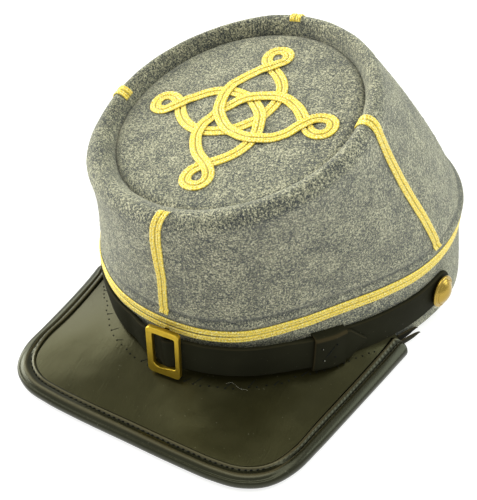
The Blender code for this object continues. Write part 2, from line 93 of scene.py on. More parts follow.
def mix(first: float, second: float, share: float) -> float:
    """Straight blend of two numbers."""
    return first + (second - first) * share


def signed(degrees: float) -> float:
    """The same direction between -180 and 180, below 0 on the wearer's right."""
    return (degrees + 180.0) % 360.0 - 180.0


def hump(value: float, middle: float, spread: float) -> float:
    """Soft bump: 1 at its middle, fading over its spread."""
    return math.exp(-(((value - middle) / spread) ** 2))


def cubic(a: float, b: float, c: float, d: float, part: float) -> float:
    """Catmull-Rom value between b and c; vectors work as well."""
    bend = a * 2.0 - b * 5.0 + c * 4.0 - d
    twist = (b - c) * 3.0 + d - a
    return b + (c - a + (bend + twist * part) * part) * (0.5 * part)


def smooth_row(table: Table, degrees: float) -> list[float]:
    """Row of a table keyed by evenly spaced degrees, smoothed and mirrored at both ends.

    Args:
        table: rows of (degrees, value, ...), from 0 to 180.
        degrees: direction round the cap, either side.

    Returns:
        The values of the row at that direction.
    """
    last = len(table) - 1
    place = min(abs(signed(degrees)) / (table[1][0] - table[0][0]), last - 1e-9)
    index = int(place)
    picks = (abs(index - 1), index, index + 1, min(index + 2, 2 * last - index - 2))
    return [
        cubic(*(table[i][column] for i in picks), place - index)
        for column in range(1, len(table[0]))
    ]


def table_value(table: Table, key: float) -> float:
    """Value of a table of (key, value), held at both ends, straight from row to row."""
    if key <= table[0][0]:
        return table[0][1]
    for low, high in zip(table, table[1:]):
        if key <= high[0]:
            return mix(low[1], high[1], (key - low[0]) / (high[0] - low[0]))
    return table[-1][1]


def smooth_path(points: Sequence[Vector], closed: bool, parts: int) -> list[Vector]:
    """Catmull-Rom path through points.

    Args:
        points: corners of the path.
        closed: whether the last point joins the first.
        parts: equal parts that each span is cut into.

    Returns:
        Points along the path, with the last corner if it is open.
    """
    count = len(points)
    path = []
    for index in range(count if closed else count - 1):
        if closed:
            a, b, c, d = (points[(index + k) % count] for k in (-1, 0, 1, 2))
        else:
            b, c = points[index], points[index + 1]
            a = points[index - 1] if index else b * 2.0 - c
            d = points[index + 2] if index + 2 < count else c * 2.0 - b
        path += [cubic(a, b, c, d, part / parts) for part in range(parts)]
    return path if closed else path + [points[-1]]


def even_path(path: Sequence[Vector], count: int, closed: bool = False) -> list[Vector]:
    """Path resampled to points at even distances.

    Args:
        path: points of the path.
        count: number of points wanted.
        closed: whether the last point joins the first.

    Returns:
        The new points; an open path keeps both of its ends.
    """
    line = list(path) + ([path[0]] if closed else [])
    lengths = [0.0]
    for near, far in zip(line, line[1:]):
        lengths.append(lengths[-1] + (far - near).length)
    result = []
    index = 0
    for k in range(count):
        target = lengths[-1] * k / (count if closed else count - 1)
        while index < len(line) - 2 and lengths[index + 1] < target:
            index += 1
        span = max(lengths[index + 1] - lengths[index], 1e-9)
        result.append(line[index].lerp(line[index + 1], (target - lengths[index]) / span))
    return result


def around(degrees: float) -> Vector:
    """Level direction away from the middle of the cap; 0 is the front, 90 the wearer's left."""
    turn = math.radians(degrees)
    return Vector((math.sin(turn), -math.cos(turn), 0.0))


# --- Shape of the cap, shared by all of its pieces ---


@dataclass(frozen=True)
class CapForm:
    """Outline of the cap: band, crown wall, rolled rim and flat top.

    plan: (degrees, radius at the ring on the left, on the right, radius at the hem, hem height).
    rim: (share of the roll's width out from the top, share of its height above the top).
    wall_left, wall_right: (degrees, roll width, sag of the wall, upright length at the ring).
    swells: (degrees, extra radius, spread) where the soft band swells out.
    bulge: (degrees, spread, height, spread, size) of the wall's bulge over the ring.
    pull_low, pull_high: shares of the way from the ring to the rim at which the wall's curve is
    bent; sag_low, sag_high: how strongly the sag moves it there.
    seam: (height, depth, half its width) of the crease above the ring.
    roll: (height, rise, half its width) of the cloth's fold under that crease.
    """

    ring_front: float = 84.6
    ring_height: float = 36.95
    plan_centre: float = 105.0
    hem_drop: float = 36.4
    felt: float = 2.0
    gap: float = 0.3
    plan: Table = (
        (0.0, 103.1, 103.1, 101.5, -27.2), (15.0, 100.4, 101.6, 98.5, -27.8),
        (30.0, 90.8, 95.6, 91.5, -29.7), (45.0, 83.8, 88.4, 88.0, -31.8),
        (60.0, 82.6, 85.0, 87.5, -33.0), (75.0, 84.4, 85.2, 88.6, -33.9),
        (90.0, 86.2, 86.2, 91.0, -34.8), (105.0, 88.0, 88.0, 93.6, -35.8),
        (120.0, 90.2, 90.2, 96.0, -36.5), (135.0, 93.6, 93.6, 98.2, -36.7),
        (150.0, 97.0, 97.0, 100.2, -36.7), (165.0, 99.2, 99.2, 101.2, -36.7),
        (180.0, 99.9, 99.9, 101.8, -36.7),
    )
    top_centre: tuple[float, float, float] = (-2.0, 63.2, 67.9)
    top_tilt_front: float = 14.7
    top_tilt_right: float = 8.3
    top_half_width: float = 53.5
    top_half_front: float = 54.3
    top_half_back: float = 57.3
    rim_height: float = 8.0
    rim: Table = (
        (1.00, 0.20), (0.93, 0.45), (0.76, 0.72), (0.54, 0.82), (0.32, 0.70), (0.14, 0.38),
        (0.04, -0.05), (0.04, -0.42),
    )
    wall_left: Table = (
        (0.0, 12.4, 0.3, 8.0), (45.0, 11.0, 1.6, 6.0), (90.0, 9.4, 2.0, 4.0),
        (135.0, 8.4, -2.2, 4.0), (180.0, 7.2, -0.5, 4.0),
    )
    wall_right: Table = (
        (0.0, 12.4, 0.3, 8.0), (45.0, 12.7, 1.2, 8.0), (90.0, 7.9, 0.4, 10.0),
        (135.0, 5.0, -1.5, 8.0), (180.0, 7.2, -0.5, 4.0),
    )
    swells: Table = ((-34.0, 1.7, 20.0), (117.0, 1.5, 26.0))
    bulge: tuple[float, ...] = (119.0, 19.0, 5.2, 3.0, 2.1)
    wall_foot: float = 2.8
    wall_steps: int = 24
    pull_low: float = 0.18
    pull_high: float = 0.30
    sag_low: float = 0.6
    sag_high: float = 1.6
    seam: tuple[float, float, float] = (7.2, 0.75, 1.1)
    roll: tuple[float, float, float] = (4.6, 0.30, 1.6)

    def world(self, point: Vector) -> Vector:
        """Point in metres in the row frame."""
        return (point + Vector((0.0, -self.ring_front, self.ring_height))) * MM

    def on_right(self, degrees: float) -> bool:
        """Whether a direction points to the wearer's right."""
        return signed(degrees) < 0.0

    def band_radius(self, degrees: float, height: float) -> float:
        """Distance from the middle of the cap to the outside of the band."""
        left, right, hem, _ = smooth_row(self.plan, degrees)
        ring = right if self.on_right(degrees) else left
        turn = signed(degrees)
        swell = sum(extra * hump(turn, at, wide) for at, extra, wide in self.swells)
        return ring + swell + (hem - ring) * max(0.0, -height) / self.hem_drop

    def hem(self, degrees: float) -> float:
        """Height of the band's lower edge."""
        return smooth_row(self.plan, degrees)[3]

    def band_point(self, degrees: float, height: float, out: float = 0.0) -> Vector:
        """Point on the outside of the band, moved outwards by out."""
        radius = self.band_radius(degrees, height)
        slope = self.band_radius(degrees + 1.0, height) - self.band_radius(degrees - 1.0, height)
        slope /= math.radians(2.0)
        outward = around(degrees)
        normal = (outward * radius - around(degrees + 90.0) * slope).normalized()
        return Vector((0.0, self.plan_centre, height)) + outward * radius + normal * out

    def band_normal(self, degrees: float, height: float) -> Vector:
        """Level direction straight out of the band."""
        return self.band_point(degrees, height, 1.0) - self.band_point(degrees, height)

    def top_axes(self) -> tuple[Vector, Vector, Vector]:
        """Unit directions of the flat top: to the wearer's left, backwards and upwards."""
        right_tilt = math.radians(self.top_tilt_right)
        front_tilt = math.radians(self.top_tilt_front)
        side = Vector((math.cos(right_tilt), 0.0, math.sin(right_tilt)))
        back = Vector((0.0, math.cos(front_tilt), math.sin(front_tilt)))
        back = (back - side * back.dot(side)).normalized()
        return side, back, side.cross(back)

    def top_point(self, across: float, behind: float, lift: float) -> Vector:
        """Point given in the plane of the flat top."""
        side, back, up = self.top_axes()
        return Vector(self.top_centre) + side * across + back * behind + up * lift

    def rim_point(self, degrees: float, out: float, lift: float) -> Vector:
        """Point beside the edge of the flat top, out from that edge and above it."""
        turn = math.radians(degrees)
        long = self.top_half_front if math.cos(turn) > 0.0 else self.top_half_back
        across = self.top_half_width * math.sin(turn)
        behind = -long * math.cos(turn)
        away = Vector((math.sin(turn) * long, -math.cos(turn) * self.top_half_width)).normalized()
        return self.top_point(across + away.x * out, behind + away.y * out, lift)

    def cloth_relief(self, point: Vector) -> float:
        """Soft unevenness of the felt, in millimetres."""
        wide = noise(point / 31.0) * 0.50
        middle = noise(point / 11.0 + Vector((7.0, 0.0, 0.0))) * 0.16
        return wide + middle + noise(point / 3.7) * 0.05

    def top_relief(self, point: Vector) -> float:
        """Unevenness of the flat top at a point, half that of the wall."""
        return 0.5 * self.cloth_relief(point)

    def wall_column(self, degrees: float, count: int) -> list[Vector]:
        """Outside of the crown's felt in one direction, from the ring up, over and down the rim.

        Args:
            degrees: direction round the cap.
            count: number of points.

        Returns:
            Evenly spaced points with the seam above the ring and the cloth's relief in them.
        """
        table = self.wall_right if self.on_right(degrees) else self.wall_left
        width, sag, upright = smooth_row(table, degrees)
        foot = self.band_point(degrees, 0.0)
        foot.z = self.wall_foot
        rim = [self.rim_point(degrees, width * out, self.rim_height * up) for out, up in self.rim]
        head = rim[0]
        inward = -around(degrees)
        low = foot + (head - foot) * self.pull_low + Vector((0.0, 0.0, upright))
        low += inward * sag * self.sag_low
        high = head - (head - foot) * self.pull_high + inward * sag * self.sag_high
        wall = []
        for step in range(self.wall_steps):
            t = step / self.wall_steps
            s = 1.0 - t
            wall.append(foot * s**3 + low * 3 * s * s * t + high * 3 * s * t * t + head * t**3)
        base = Vector((foot.x, foot.y, self.gap / 2.0))
        line = even_path([base] + wall + smooth_path([wall[-1]] + rim, False, 4)[4:], count)
        along = around(degrees + 90.0)
        at, wide, height, tall, size = self.bulge
        size *= hump(signed(degrees), at, wide)
        crease, deep, crease_wide = self.seam
        fold, rise, fold_wide = self.roll
        result = []
        for k, point in enumerate(line):
            ahead = line[min(k + 1, count - 1)] - line[max(k - 1, 0)]
            outward = along.cross(ahead).normalized()
            free = smoothstep(3.0, 9.0, point.z) * smoothstep(count - 1, count - 5, k)
            shift = self.cloth_relief(point) * free
            shift -= deep * hump(point.z, crease, crease_wide)
            shift += rise * hump(point.z, fold, fold_wide)
            shift += size * hump(point.z, height, tall)
            result.append(point + outward * shift)
        return result

    def wall_columns(self, degrees: float, count: int) -> tuple[list[Vector], ...]:
        """The wall's columns a degree before a direction, there, and a degree after it."""
        return tuple(self.wall_column(degrees + turn, count) for turn in (-1.0, 0.0, 1.0))


# --- Mesh making ---


def skin(
    rows: Rows,
    closed_rows: bool = False,
    across: Sequence[float] | None = None,
    along: Sequence[float] | None = None,
    wear_and_light: WearAndLight | None = None,
) -> bmesh.types.BMesh:
    """Tube laid through rows of points, in millimetres.

    Args:
        rows: equally long rows of points, each closed in itself.
        closed_rows: whether the last row joins the first.
        across: texture coordinate of each column, and of the first one once more.
        along: texture coordinate of each row, with one more entry if closed.
        wear_and_light: mark at a row and column, from 0 to 1, for worn places and for painted shade
            and highlights.

    Returns:
        The mesh, with doubles merged and open strip ends left open.
    """
    high = len(rows) if closed_rows else len(rows) - 1
    wide = len(rows[0])
    across = across or [k / wide for k in range(wide + 1)]
    along = along or [k / high for k in range(high + 1)]
    data = bmesh.new()
    layer = data.loops.layers.uv.new("UVMap")
    # Layer of the marks, for worn places and for painted shade and highlights.
    worn = data.verts.layers.float.new("wear_and_light")
    bmesh.ops.create_grid(data, x_segments=wide, y_segments=high, size=0.5)
    place = {}
    for vert in data.verts:
        place[vert] = (round((vert.co.y + 0.5) * high), round((vert.co.x + 0.5) * wide))
    for face in data.faces:
        for loop in face.loops:
            row, column = place[loop.vert]
            loop[layer].uv = (across[column], along[row])
    for vert, (row, column) in place.items():
        row %= len(rows)
        column %= wide
        vert.co = rows[row][column]
        vert[worn] = wear_and_light(row, column) if wear_and_light else 0.0
    bmesh.ops.remove_doubles(data, verts=data.verts, dist=1e-4)
    return data


def fill_ends(data: bmesh.types.BMesh) -> None:
    """Close the open ends of a strip with flat faces."""
    edges = [edge for edge in data.edges if edge.is_boundary]
    if edges:
        bmesh.ops.holes_fill(data, edges=edges, sides=0)


def grain(
    data: bmesh.types.BMesh,
    middle: Vector,
    sizes: Sequence[float],
    ahead: Vector | None = None,
    segments: tuple[int, int] = (8, 6),
) -> None:
    """Add a small rounded solid, such as a stitch or a needle hole.

    Args:
        data: mesh to add it to.
        middle: its middle.
        sizes: halves of its length, width and thickness.
        ahead: direction of its length, or None where it isn't turned.
        segments: faces round it and from pole to pole.
    """
    turn = Matrix() if ahead is None else ahead.to_track_quat("X", "Z").to_matrix().to_4x4()
    bmesh.ops.create_uvsphere(
        data,
        u_segments=segments[0],
        v_segments=segments[1],
        radius=1.0,
        matrix=Matrix.Translation(middle) @ turn @ Matrix.Diagonal((*sizes, 1.0)),
    )


def mesh_of(name: str, data: bmesh.types.BMesh) -> bpy.types.Mesh:
    """Blender mesh of an edited mesh, which is freed."""
    mesh = bpy.data.meshes.new(name)
    data.to_mesh(mesh)
    data.free()
    return mesh


def show(name: str, data: bpy.types.ID) -> bpy.types.Object:
    """New object in the scene."""
    item = bpy.data.objects.new(name, data)
    bpy.context.scene.collection.objects.link(item)
    return item


def normals_of(rows: Rows) -> Rows:
    """Unit normals of a grid of points whose rows go up and columns go all the way round."""
    result = []
    high, wide = len(rows), len(rows[0])
    for i in range(high):
        line = []
        for j in range(wide):
            step = rows[i][(j + 1) % wide] - rows[i][j - 1]
            rise = rows[min(i + 1, high - 1)][j] - rows[max(i - 1, 0)][j]
            line.append(step.cross(rise).normalized())
        result.append(line)
    return result


def felt_wall(rows: Rows, thick: float) -> Rows:
    """Rows of a felt wall's outside, continued round its rounded edges and up its inside."""
    round_edge = 0.35 * thick
    inner = [[p - n * thick for p, n in zip(*pair)] for pair in zip(rows, normals_of(rows))]
    edges = []
    for last, before in ((-1, -2), (0, 1)):
        edges.append(
            [
                (here + inside) * 0.5 + (here - near).normalized() * round_edge
                for here, inside, near in zip(rows[last], inner[last], rows[before])
            ]
        )
    return rows + [edges[0]] + inner[::-1] + [edges[1]]


@dataclass
class Maker:
    """Turns finished meshes into pieces of the cap."""

    form: CapForm

    def piece(
        self,
        name: str,
        data: bmesh.types.BMesh,
        finish: Material,
        slot: Slot,
        replaces: Sequence[str] = (),
        sharp: float | None = None,
    ) -> None:
        """Make an object of a mesh, dress it and hang it on the frame.

        Args:
            name: name of the piece.
            data: its mesh, in millimetres; it is freed.
            finish: its material.
            slot: not used.
            replaces: CAD nodes that it stands for.
            sharp: angle in degrees above which edges stay sharp, or None.
        """
        bmesh.ops.recalc_face_normals(data, faces=data.faces)
        for vert in data.verts:
            vert.co = self.form.world(vert.co)
        mesh = mesh_of(name, data)
        mesh.shade_smooth()
        if sharp is not None:
            mesh.set_sharp_from_angle(angle=math.radians(sharp))
        mesh.materials.append(finish)
        self.hang(show(name, mesh), slot, replaces)
        triangles = sum(len(face.vertices) - 2 for face in mesh.polygons)
        log.info("%s: %d triangles", name, triangles)

    def strip(
        self,
        name: str,
        sections: Rows,
        finish: Material,
        slot: Slot,
        node: str,
        wear_and_light: WearAndLight | None = None,
        sharp: float | None = None,
    ) -> None:
        """Make a piece of closed sections along a strip, with both of its ends filled.

        Args:
            sections: points of each section, in millimetres.
            node: CAD node that it stands for.
            wear_and_light: mark at a section and point, from 0 to 1, for worn places and for
                painted shade and highlights.
            name, finish, slot, sharp: as for a piece.
        """
        data = skin(sections, wear_and_light=wear_and_light)
        fill_ends(data)
        self.piece(name, data, finish, slot, [node], sharp)

    def hang(self, item: bpy.types.Object, slot: Slot, replaces: Sequence[str] = ()) -> None:
        """Let a piece ride on the cap, and hide the CAD nodes that it stands for."""
        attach(item, BODY)
        if replaces:
            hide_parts(*replaces)

    def fibres(
        self,
        name: str,
        lines: Sequence[Sequence[Vector]],
        radius: float,
        finish: Material,
        slot: Slot,
    ) -> None:
        """Thin fibres as one curve object.

        Args:
            name: name of the piece.
            lines: points of each fibre, in millimetres.
            radius: half thickness of a fibre in millimetres.
            finish: its material.
            slot: not used.
        """
        curve = bpy.data.curves.new(name, "CURVE")
        curve.dimensions = "3D"
        curve.bevel_depth = radius * MM
        curve.bevel_resolution = 0
        curve.use_fill_caps = True
        for line in lines:
            spline = curve.splines.new("POLY")
            spline.points.add(len(line) - 1)
            for knot, point in zip(spline.points, line):
                knot.co = (*self.form.world(point), 1.0)
        curve.materials.append(finish)
        self.hang(show(name, curve), slot)
        log.info("%s: %d fibres", name, len(lines))


# --- Finishes ---


class NodeBook:
    """One material under construction, with short ways to add its nodes."""

    def __init__(self, name: str) -> None:
        """Start a Principled material of this name."""
        self.material = bpy.data.materials.new(name)
        self.material.use_nodes = True
        self.tree = self.material.node_tree
        self.shader = self.tree.nodes["Principled BSDF"]

    def node(self, kind: str, **sockets: object) -> bpy.types.Node:
        """Add a node; sockets are set by name, with _ for a space, by value or by link."""
        made = self.tree.nodes.new(kind)
        for name, value in sockets.items():
            self.put(made.inputs[name.replace("_", " ")], value)
        return made

    def put(self, socket: Socket, value: object) -> None:
        """Link a socket to another one, or set its value."""
        if isinstance(value, Socket):
            self.tree.links.new(value, socket)
        elif isinstance(value, tuple) and len(value) == 3 and socket.type == "RGBA":
            socket.default_value = (*value, 1.0)
        else:
            socket.default_value = value

    def coords(self) -> Socket:
        """Object coordinates, in metres."""
        return self.node("ShaderNodeTexCoord").outputs["Object"]

    def surface(self) -> Socket:
        """The piece's own texture coordinates."""
        return self.node("ShaderNodeTexCoord").outputs["UV"]

    def wear_and_light(self) -> Socket:
        """Mark painted on the mesh: how worn the surface is, and where painted shade and highlights
        go.
        """
        made = self.node("ShaderNodeAttribute")
        made.attribute_name = "wear_and_light"
        return made.outputs["Fac"]

    def mapped(
        self,
        vector: Socket,
        scale: Sequence[float],
        turn: Sequence[float] = (0.0, 0.0, 0.0),
    ) -> Socket:
        """Coordinates turned by degrees and scaled."""
        spin = Euler([math.radians(angle) for angle in turn])
        turned = self.node("ShaderNodeMapping", Vector=vector, Rotation=spin[:])
        made = self.node("ShaderNodeVectorMath", Vector=turned.outputs["Vector"])
        made.operation = "MULTIPLY"
        made.inputs[1].default_value = scale
        return made.outputs["Vector"]

    def noise(
        self,
        vector: Socket,
        scale: float = 1.0,
        detail: float = 2.0,
        rough: float = 0.5,
        bend: float = 0.0,
    ) -> Socket:
        """Noise between 0 and 1."""
        made = self.node(
            "ShaderNodeTexNoise",
            Vector=vector,
            Scale=scale,
            Detail=detail,
            Roughness=rough,
            Distortion=bend,
        )
        return made.outputs["Fac"]

    def cells(self, vector: Socket) -> Socket:
        """Random tone of the cell round each of scattered points."""
        return self.node("ShaderNodeTexVoronoi", Vector=vector, Scale=1.0).outputs["Color"]

    def ramp(self, value: Socket, stops: Sequence[tuple[float, Colour]]) -> Socket:
        """Colours along a value."""
        made = self.node("ShaderNodeValToRGB", Fac=value)
        elements = made.color_ramp.elements
        for index, (place, colour) in enumerate(stops):
            element = elements[index] if index < 2 else elements.new(place)
            element.position = place
            element.color = (*colour, 1.0)
        return made.outputs["Color"]

    def band(self, value: object, low: float, high: float) -> Socket:
        """Eased step of a value: 0 below low, 1 above high."""
        made = self.tree.nodes.new("ShaderNodeMapRange")
        made.interpolation_type = "SMOOTHSTEP"
        self.put(made.inputs[0], value)
        made.inputs[1].default_value = low
        made.inputs[2].default_value = high
        return made.outputs[0]

    def figure(self, operation: str, first: object, second: object) -> Socket:
        """Arithmetic on two values."""
        made = self.tree.nodes.new("ShaderNodeMath")
        made.operation = operation
        self.put(made.inputs[0], first)
        self.put(made.inputs[1], second)
        return made.outputs[0]

    def times(self, first: object, second: object) -> Socket:
        """Product of two values."""
        return self.figure("MULTIPLY", first, second)

    def plus(self, first: object, *others: object) -> Socket:
        """Sum of values."""
        for other in others:
            first = self.figure("ADD", first, other)
        return first

    def blend(self, share: object, first: object, second: object) -> Socket:
        """Mix of two colours."""
        made = self.tree.nodes.new("ShaderNodeMix")
        made.data_type = "RGBA"
        self.put(made.inputs[0], share)
        self.put(made.inputs[6], first)
        self.put(made.inputs[7], second)
        return made.outputs[2]

    def bump(self, height: Socket, depth: float, under: Socket | None = None) -> Socket:
        """Relief of a height map whose full range is depth, in metres."""
        made = self.node("ShaderNodeBump", Height=height, Distance=depth)
        if under is not None:
            self.put(made.inputs["Normal"], under)
        return made.outputs["Normal"]

    def done(self, **sockets: object) -> Material:
        """Set the shader's sockets and hand the material over."""
        for name, value in sockets.items():
            self.put(self.shader.inputs[name.replace("_", " ")], value)
        return self.material


@dataclass(frozen=True)
class FeltFinish:
    """Heather grey wool felt: slate and pale fibres matted together.

    shares: of the tufts, the fuzz, the flecks and the clouds in the mottle.
    streaks: (turn in degrees, share, whether pale) of the layers of longer fibres.
    nap: the felt's relief, in metres.
    """

    name: str = "heather_felt"
    slate: Colour = (0.020, 0.027, 0.038)
    grey: Colour = (0.150, 0.155, 0.112)
    pale: Colour = (0.400, 0.390, 0.260)
    hair: Colour = (0.66, 0.63, 0.46)
    rough: float = 0.95
    sheen: float = 0.5
    shares: tuple[float, ...] = (0.5, 0.32, 0.22, 0.17)
    streaks: tuple[tuple[tuple[float, ...], float, bool], ...] = (
        ((0.0, 0.0, 20.0), 0.45, True),
        ((35.0, 70.0, 0.0), 0.45, True),
        ((80.0, 15.0, 50.0), 0.50, False),
    )
    nap: float = 0.0006

    def make(self) -> Material:
        """Build the material."""
        book = NodeBook(self.name)
        place = book.coords()
        clouds = book.noise(place, 95.0, 2.0, 0.5)
        tufts = book.noise(place, 1250.0, 3.0, 0.65, 0.1)
        fuzz = book.noise(place, 2500.0, 2.0, 0.6)
        flecks = book.cells(book.mapped(place, (1900.0, 1900.0, 1500.0), (20.0, 35.0, 0.0)))
        layers = (tufts, fuzz, flecks, book.figure("SUBTRACT", clouds, 0.5))
        mottle = book.plus(*(book.times(*pair) for pair in zip(layers, self.shares)))
        colour = book.ramp(
            mottle, ((0.445, self.slate), (0.52, self.grey), (0.59, self.pale), (0.66, self.hair))
        )
        height = tufts
        for turn, full, pale in self.streaks:
            drawn = book.mapped(place, (700.0, 2600.0, 2600.0), turn)
            share = book.band(book.noise(drawn, 1.0, 2.0, 0.5, 1.4), 0.62, 0.74)
            share = book.times(share, full)
            colour = book.blend(share, colour, self.hair if pale else self.slate)
            height = book.plus(height, book.times(share, 0.6))
        # Painted shade: places marked on the mesh (the seam's crease, the fold beside the ring, the
        # band beside the visor's seam) blend towards slate.
        colour = book.blend(book.times(book.wear_and_light(), 0.75), colour, self.slate)
        return book.done(
            Base_Color=colour,
            Roughness=self.rough,
            Normal=book.bump(height, self.nap),
            Sheen_Weight=self.sheen,
            Sheen_Roughness=0.6,
            Sheen_Tint=(0.85, 0.85, 0.75),
            Specular_IOR_Level=0.15,
        )


@dataclass(frozen=True)
class BraidFinish:
    """Gold plaited braid of shiny yarn, with painted shade in its gaps and painted glints among its
    palest speckles.
    """

    name: str = "gold_braid"
    deep: Colour = (0.52, 0.34, 0.015)
    gold: Colour = (1.0, 0.76, 0.080)
    bright: Colour = (1.0, 0.98, 0.58)
    # Colour of the painted shade in the gap between the strands, in the grooves and on the
    # underside.
    gap: Colour = (0.040, 0.034, 0.012)
    metal: float = 0.25
    rough: float = 0.38

    def make(self) -> Material:
        """Build the material; its texture coordinates are millimetres across and along."""
        book = NodeBook(self.name)
        place = book.surface()
        yarn = book.noise(book.mapped(place, (1.9, 1.4, 1.0)), 1.0, 2.0, 0.6)
        thread = book.noise(book.mapped(place, (1.2, 3.0, 1.0), (0, 0, 32)), 1.0, 2.0, 0.6)
        tone = book.plus(book.times(yarn, 0.5), book.times(thread, 0.5))
        # Random tone of the yarn; its palest speckles also serve as painted glints.
        colour = book.ramp(
            tone, ((0.41, self.deep), (0.47, self.gold), (0.53, self.gold), (0.59, self.bright))
        )
        # Painted shade where the mesh marks it: the gap between the strands, the grooves between
        # cords, the underside.
        colour = book.blend(book.wear_and_light(), colour, self.gap)
        normal = book.bump(thread, 0.00022)
        shine = book.band(yarn, 0.35, 0.75)
        rough = book.figure("SUBTRACT", self.rough + 0.10, book.times(shine, 0.22))
        return book.done(
            Base_Color=colour,
            Metallic=self.metal,
            Roughness=rough,
            Normal=normal,
            Specular_IOR_Level=0.6,
            Sheen_Weight=0.15,
        )


@dataclass(frozen=True)
class LeatherFinish:
    """Black leather with a fine grain, browner where the mesh marks it: worn edges, and painted
    highlights on ridges and upper edges.

    grain is the pores' scale, and the depths are in metres.
    """

    name: str
    colour: Colour
    worn: Colour
    rough: float
    shine: float
    grain: float = 1500.0
    grain_depth: float = 0.00003
    crease_depth: float = 0.00003
    glint: Colour = (1.0, 0.96, 0.50)
    dust: Colour = (0.22, 0.21, 0.16)
    pale_share: float = 1.45

    def make(self) -> Material:
        """Build the material."""
        book = NodeBook(self.name)
        place = book.coords()
        broad = book.noise(place, 45.0, 3.0, 0.55)
        pores = book.noise(place, self.grain, 3.0, 0.65)
        drawn = book.mapped(place, (900.0, 160.0, 400.0), (0.0, 0.0, -5.0))
        creases = book.noise(drawn, 1.0, 3.0, 0.6, 0.8)
        specks = book.band(book.noise(place, 900.0, 2.0, 0.4), 0.735, 0.77)
        pale = tuple(part * self.pale_share for part in self.colour)
        colour = book.blend(book.band(broad, 0.25, 0.75), self.colour, pale)
        # Marked places turn browner: worn leather, and painted highlights on the binding's ridges
        # and the straps' upper edges.
        colour = book.blend(book.times(book.wear_and_light(), 0.9), colour, self.worn)
        colour = book.blend(book.times(specks, 0.25), colour, self.dust)
        normal = book.bump(creases, self.crease_depth, book.bump(pores, self.grain_depth))
        rough = book.plus(self.rough - 0.06, book.times(broad, 0.12))
        return book.done(
            Base_Color=colour,
            Roughness=rough,
            Normal=normal,
            Specular_IOR_Level=self.shine,
            Specular_Tint=self.glint,
        )


@dataclass(frozen=True)
class BrassFinish:
    """Brass sheet with tarnished clouds, and its dark colour where the mesh marks it: darker frame
    sides, and painted shade on the buckle's bar.
    """

    name: str
    colour: Colour
    tarnish_and_shade: Colour
    rough: float
    relief: float = 0.00004

    def make(self) -> Material:
        """Build the material."""
        book = NodeBook(self.name)
        place = book.coords()
        cloud = book.noise(place, 260.0, 3.0, 0.6)
        scratch = book.noise(book.mapped(place, (700.0, 700.0, 5200.0), (18.0, 0.0, 0.0)))
        worn = book.times(book.band(cloud, 0.50, 0.80), 0.25)
        colour = book.blend(worn, self.colour, self.tarnish_and_shade)
        # Marked places take the dark colour: darker frame sides, and painted shade on the buckle's
        # bar and legs.
        colour = book.blend(book.wear_and_light(), colour, self.tarnish_and_shade)
        rough = book.plus(self.rough, book.times(scratch, 0.12))
        return book.done(
            Base_Color=colour,
            Metallic=1.0,
            Roughness=rough,
            Normal=book.bump(scratch, self.relief),
        )


@dataclass(frozen=True)
class YarnFinish:
    """Sewing thread or a loose fibre, with slight changes of tone along it."""

    name: str
    colour: Colour
    second: Colour
    rough: float = 0.7
    sheen: float = 0.3

    def make(self) -> Material:
        """Build the material."""
        book = NodeBook(self.name)
        tone = book.noise(book.coords(), 900.0, 2.0, 0.6)
        colour = book.blend(book.band(tone, 0.35, 0.65), self.colour, self.second)
        return book.done(
            Base_Color=colour,
            Roughness=self.rough,
            Sheen_Weight=self.sheen,
            Specular_IOR_Level=self.sheen,
        )


@dataclass(frozen=True)
class FloorFinish:
    """Plain pale paper."""

    name: str = "pale_floor"
    colour: Colour = (0.42, 0.42, 0.42)
    light: Colour = (1.0, 1.0, 1.0)
    glow: float = 0.74

    def make(self) -> Material:
        """Build the material."""
        book = NodeBook(self.name)
        tone = book.noise(book.coords(), 12.0, 2.0, 0.5)
        colour = book.blend(tone, self.colour, tuple(c * 0.99 for c in self.colour))
        return book.done(
            Base_Color=colour,
            Roughness=0.85,
            Specular_IOR_Level=0.2,
            Emission_Color=self.light,
            Emission_Strength=self.glow,
        )


@dataclass(frozen=True)
class Finishes:
    """All materials of the cap, each made once."""

    felt: Material
    braid: Material
    visor: Material
    binding: Material
    strap: Material
    brass: Material
    button: Material
    thread: Material
    pale_hair: Material
    dark_hair: Material

    @classmethod
    def make(cls) -> Finishes:
        """Build every material."""
        return cls(
            felt=FeltFinish().make(),
            braid=BraidFinish().make(),
            visor=LeatherFinish(
                "visor_leather",
                colour=(0.012, 0.011, 0.004),
                worn=(0.060, 0.048, 0.022),
                rough=0.22,
                shine=0.35,
                crease_depth=0.00005,
            ).make(),
            binding=LeatherFinish(
                "binding_leather",
                colour=(0.008, 0.008, 0.004),
                # worn: browner colour for worn ridges and for the painted highlights on them.
                worn=(0.150, 0.125, 0.070),
                rough=0.25,
                shine=0.42,
                grain_depth=0.00002,
                glint=(0.98, 1.0, 0.72),
            ).make(),
            strap=LeatherFinish(
                "strap_leather",
                colour=(0.013, 0.013, 0.008),
                # worn: browner colour for worn edges and for the painted highlights on the upper
                # edges.
                worn=(0.050, 0.038, 0.018),
                rough=0.66,
                shine=0.05,
                grain=2100.0,
                grain_depth=0.00005,
            ).make(),
            brass=BrassFinish(
                "buckle_brass", (0.76, 0.52, 0.055), tarnish_and_shade=(0.020, 0.012, 0.004), rough=0.34
            ).make(),
            button=BrassFinish(
                "button_brass", (0.42, 0.29, 0.062), tarnish_and_shade=(0.20, 0.12, 0.024), rough=0.14
            ).make(),
            thread=YarnFinish(
                "black_thread", (0.003, 0.004, 0.004), (0.010, 0.012, 0.011), rough=0.8, sheen=0.05
            ).make(),
            pale_hair=YarnFinish("pale_hair", (0.62, 0.60, 0.50), (0.46, 0.45, 0.38)).make(),
            dark_hair=YarnFinish("dark_hair", (0.05, 0.06, 0.08), (0.10, 0.11, 0.12)).make(),
        )


# --- Felt ---


